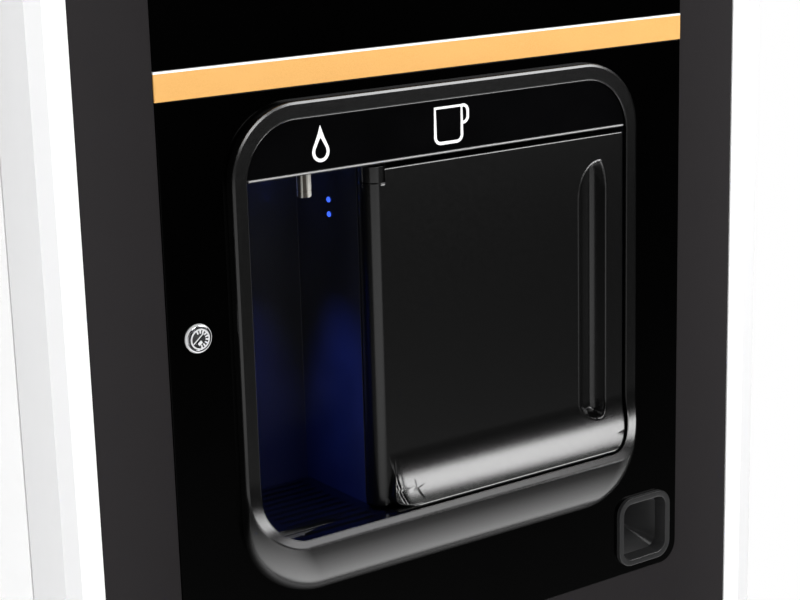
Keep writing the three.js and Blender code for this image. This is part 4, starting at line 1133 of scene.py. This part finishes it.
def build_world():
    """White behind the machine, soft light all round, and for reflections a dark room with a pale floor."""
    world = bpy.data.worlds.new("studio")
    bpy.context.scene.world = world
    world.use_nodes = True
    nodes, links = world.node_tree.nodes, world.node_tree.links
    nodes.clear()
    output = nodes.new("ShaderNodeOutputWorld")
    path = nodes.new("ShaderNodeLightPath")
    soft, dark, white = (nodes.new("ShaderNodeBackground") for _ in range(3))
    for background, strength in ((soft, 0.46), (dark, 2.4), (white, 1.0)):
        background.inputs["Color"].default_value = (1, 1, 1, 1)
        background.inputs["Strength"].default_value = strength
    direction = nodes.new("ShaderNodeSeparateXYZ")
    links.new(nodes.new("ShaderNodeTexCoord").outputs["Generated"], direction.inputs[0])
    ramp = nodes.new("ShaderNodeValToRGB")
    drop = nodes.new("ShaderNodeMapRange")
    drop.inputs["From Min"].default_value = 0
    drop.inputs["From Max"].default_value = -1
    links.new(direction.outputs["Z"], drop.inputs["Value"])
    links.new(drop.outputs["Result"], ramp.inputs["Fac"])
    stops = ramp.color_ramp.elements
    levels = ((0.14, 0.0), (0.19, 0.002), (0.25, 0.01), (0.31, 0.03), (0.45, 0.1), (0.72, 0.55), (0.97, 1.0))
    for position, level in levels[1:-1]:
        stops.new(position)
    for stop, (position, level) in zip(stops, levels):
        stop.position = position
        stop.color = (level, level, level, 1)
    links.new(ramp.outputs["Color"], dark.inputs["Color"])
    first, second = nodes.new("ShaderNodeMixShader"), nodes.new("ShaderNodeMixShader")
    mixes = ((first, "Is Glossy Ray", soft, dark), (second, "Is Camera Ray", first, white))
    for mix, ray, otherwise, chosen in mixes:
        links.new(path.outputs[ray], mix.inputs["Fac"])
        links.new(otherwise.outputs[0], mix.inputs[1])
        links.new(chosen.outputs[0], mix.inputs[2])
    links.new(second.outputs[0], output.inputs["Surface"])


def add_area_light(name, position, target, width, height, power, colour=(1, 1, 1)):
    data = bpy.data.lights.new(name, "AREA")
    data.shape = "RECTANGLE"
    data.size, data.size_y = width, height
    data.energy = power
    data.color = colour
    light = bpy.data.objects.new(name, data)
    bpy.context.scene.collection.objects.link(light)
    light.location = position
    light.rotation_euler = (Vector(target) - Vector(position)).to_track_quat("-Z", "Y").to_euler()
    return light


def build_lights():
    flare = place(20, -10, -135)
    key = flare + Vector((0.57, -0.72, 0.38)) * 1.9
    add_area_light("key_softbox", key, flare, 0.9, 0.72, 16)
    overhead = place(50, 0, 0) + Vector((0.55, -0.94, 1.5))
    add_area_light("overhead_softbox", overhead, place(50, 0, 0), 1.9, 0.6, 9)
    # Two lights in front: one lights the rounded top left, the other the groove and the barrel.
    corner = place(-150, 0, 130)
    high_front = corner + Vector((0.2, -0.96, 0.19)) * 2.2
    add_area_light("high_front_softbox", high_front, corner, 0.5, 0.45, 6)
    groove = place(150, 0, -20)
    low_front = groove + Vector((-0.37, -0.9, -0.245)) * 2.4
    add_area_light("low_front_strip", low_front, groove, 3.2, 0.7, 4.0)
    left = place(-325, 0, 0) + Vector((-2.3, -0.5, 0.3))
    left_light = add_area_light("left_softbox", left, place(-325, 100, 0), 1.2, 2.2, 31)
    left_light.visible_glossy = False
    back = Vector((-0.6, 2.6, 2.4))
    add_area_light("rear_softbox", back, (0, 0.3, 1.0), 1.8, 1.8, 38)
    niche = add_area_light(
        "niche_glow", place(-120, 62, 60), place(-135, 5, -156), 0.03, 0.03, 0.9, (0.05, 0.13, 1.0),
    )
    niche.data.spread = math.radians(75)
    niche.visible_glossy = False
    niche.parent = frame["bodies"]["main_door"]


def build_camera():
    """The photograph's view: close to the bay, from its upper left."""
    right = Vector((0.81042, -0.58529, -0.02560))
    up = Vector((0.16498, 0.18607, 0.96859))
    backward = Vector((-0.56214, -0.78919, 0.24736))
    data = bpy.data.cameras.new("camera")
    data.lens = 87.4
    data.sensor_width = 36
    data.clip_start = 0.01
    camera = bpy.data.objects.new("camera", data)
    bpy.context.scene.collection.objects.link(camera)
    rotation = Matrix((right, up, backward)).transposed().to_4x4()
    camera.matrix_world = Matrix.Translation(place(-844.4, -1125.2, 352.7)) @ rotation
    bpy.context.scene.camera = camera


finish_cad_nodes()
build_bezel()
build_cup_door()
build_cup_door_barrel()
build_pictograms()
build_lock()
build_lock_face()
build_coin_cup()
build_trim()
build_stripe()
build_white_strips()
build_nozzle()
build_niche_painted_glints()
build_display()
build_reader_details()
build_rear_screws()
build_stage()
build_world()
build_lights()
build_camera()
bpy.context.scene.view_settings.view_transform = "Standard"
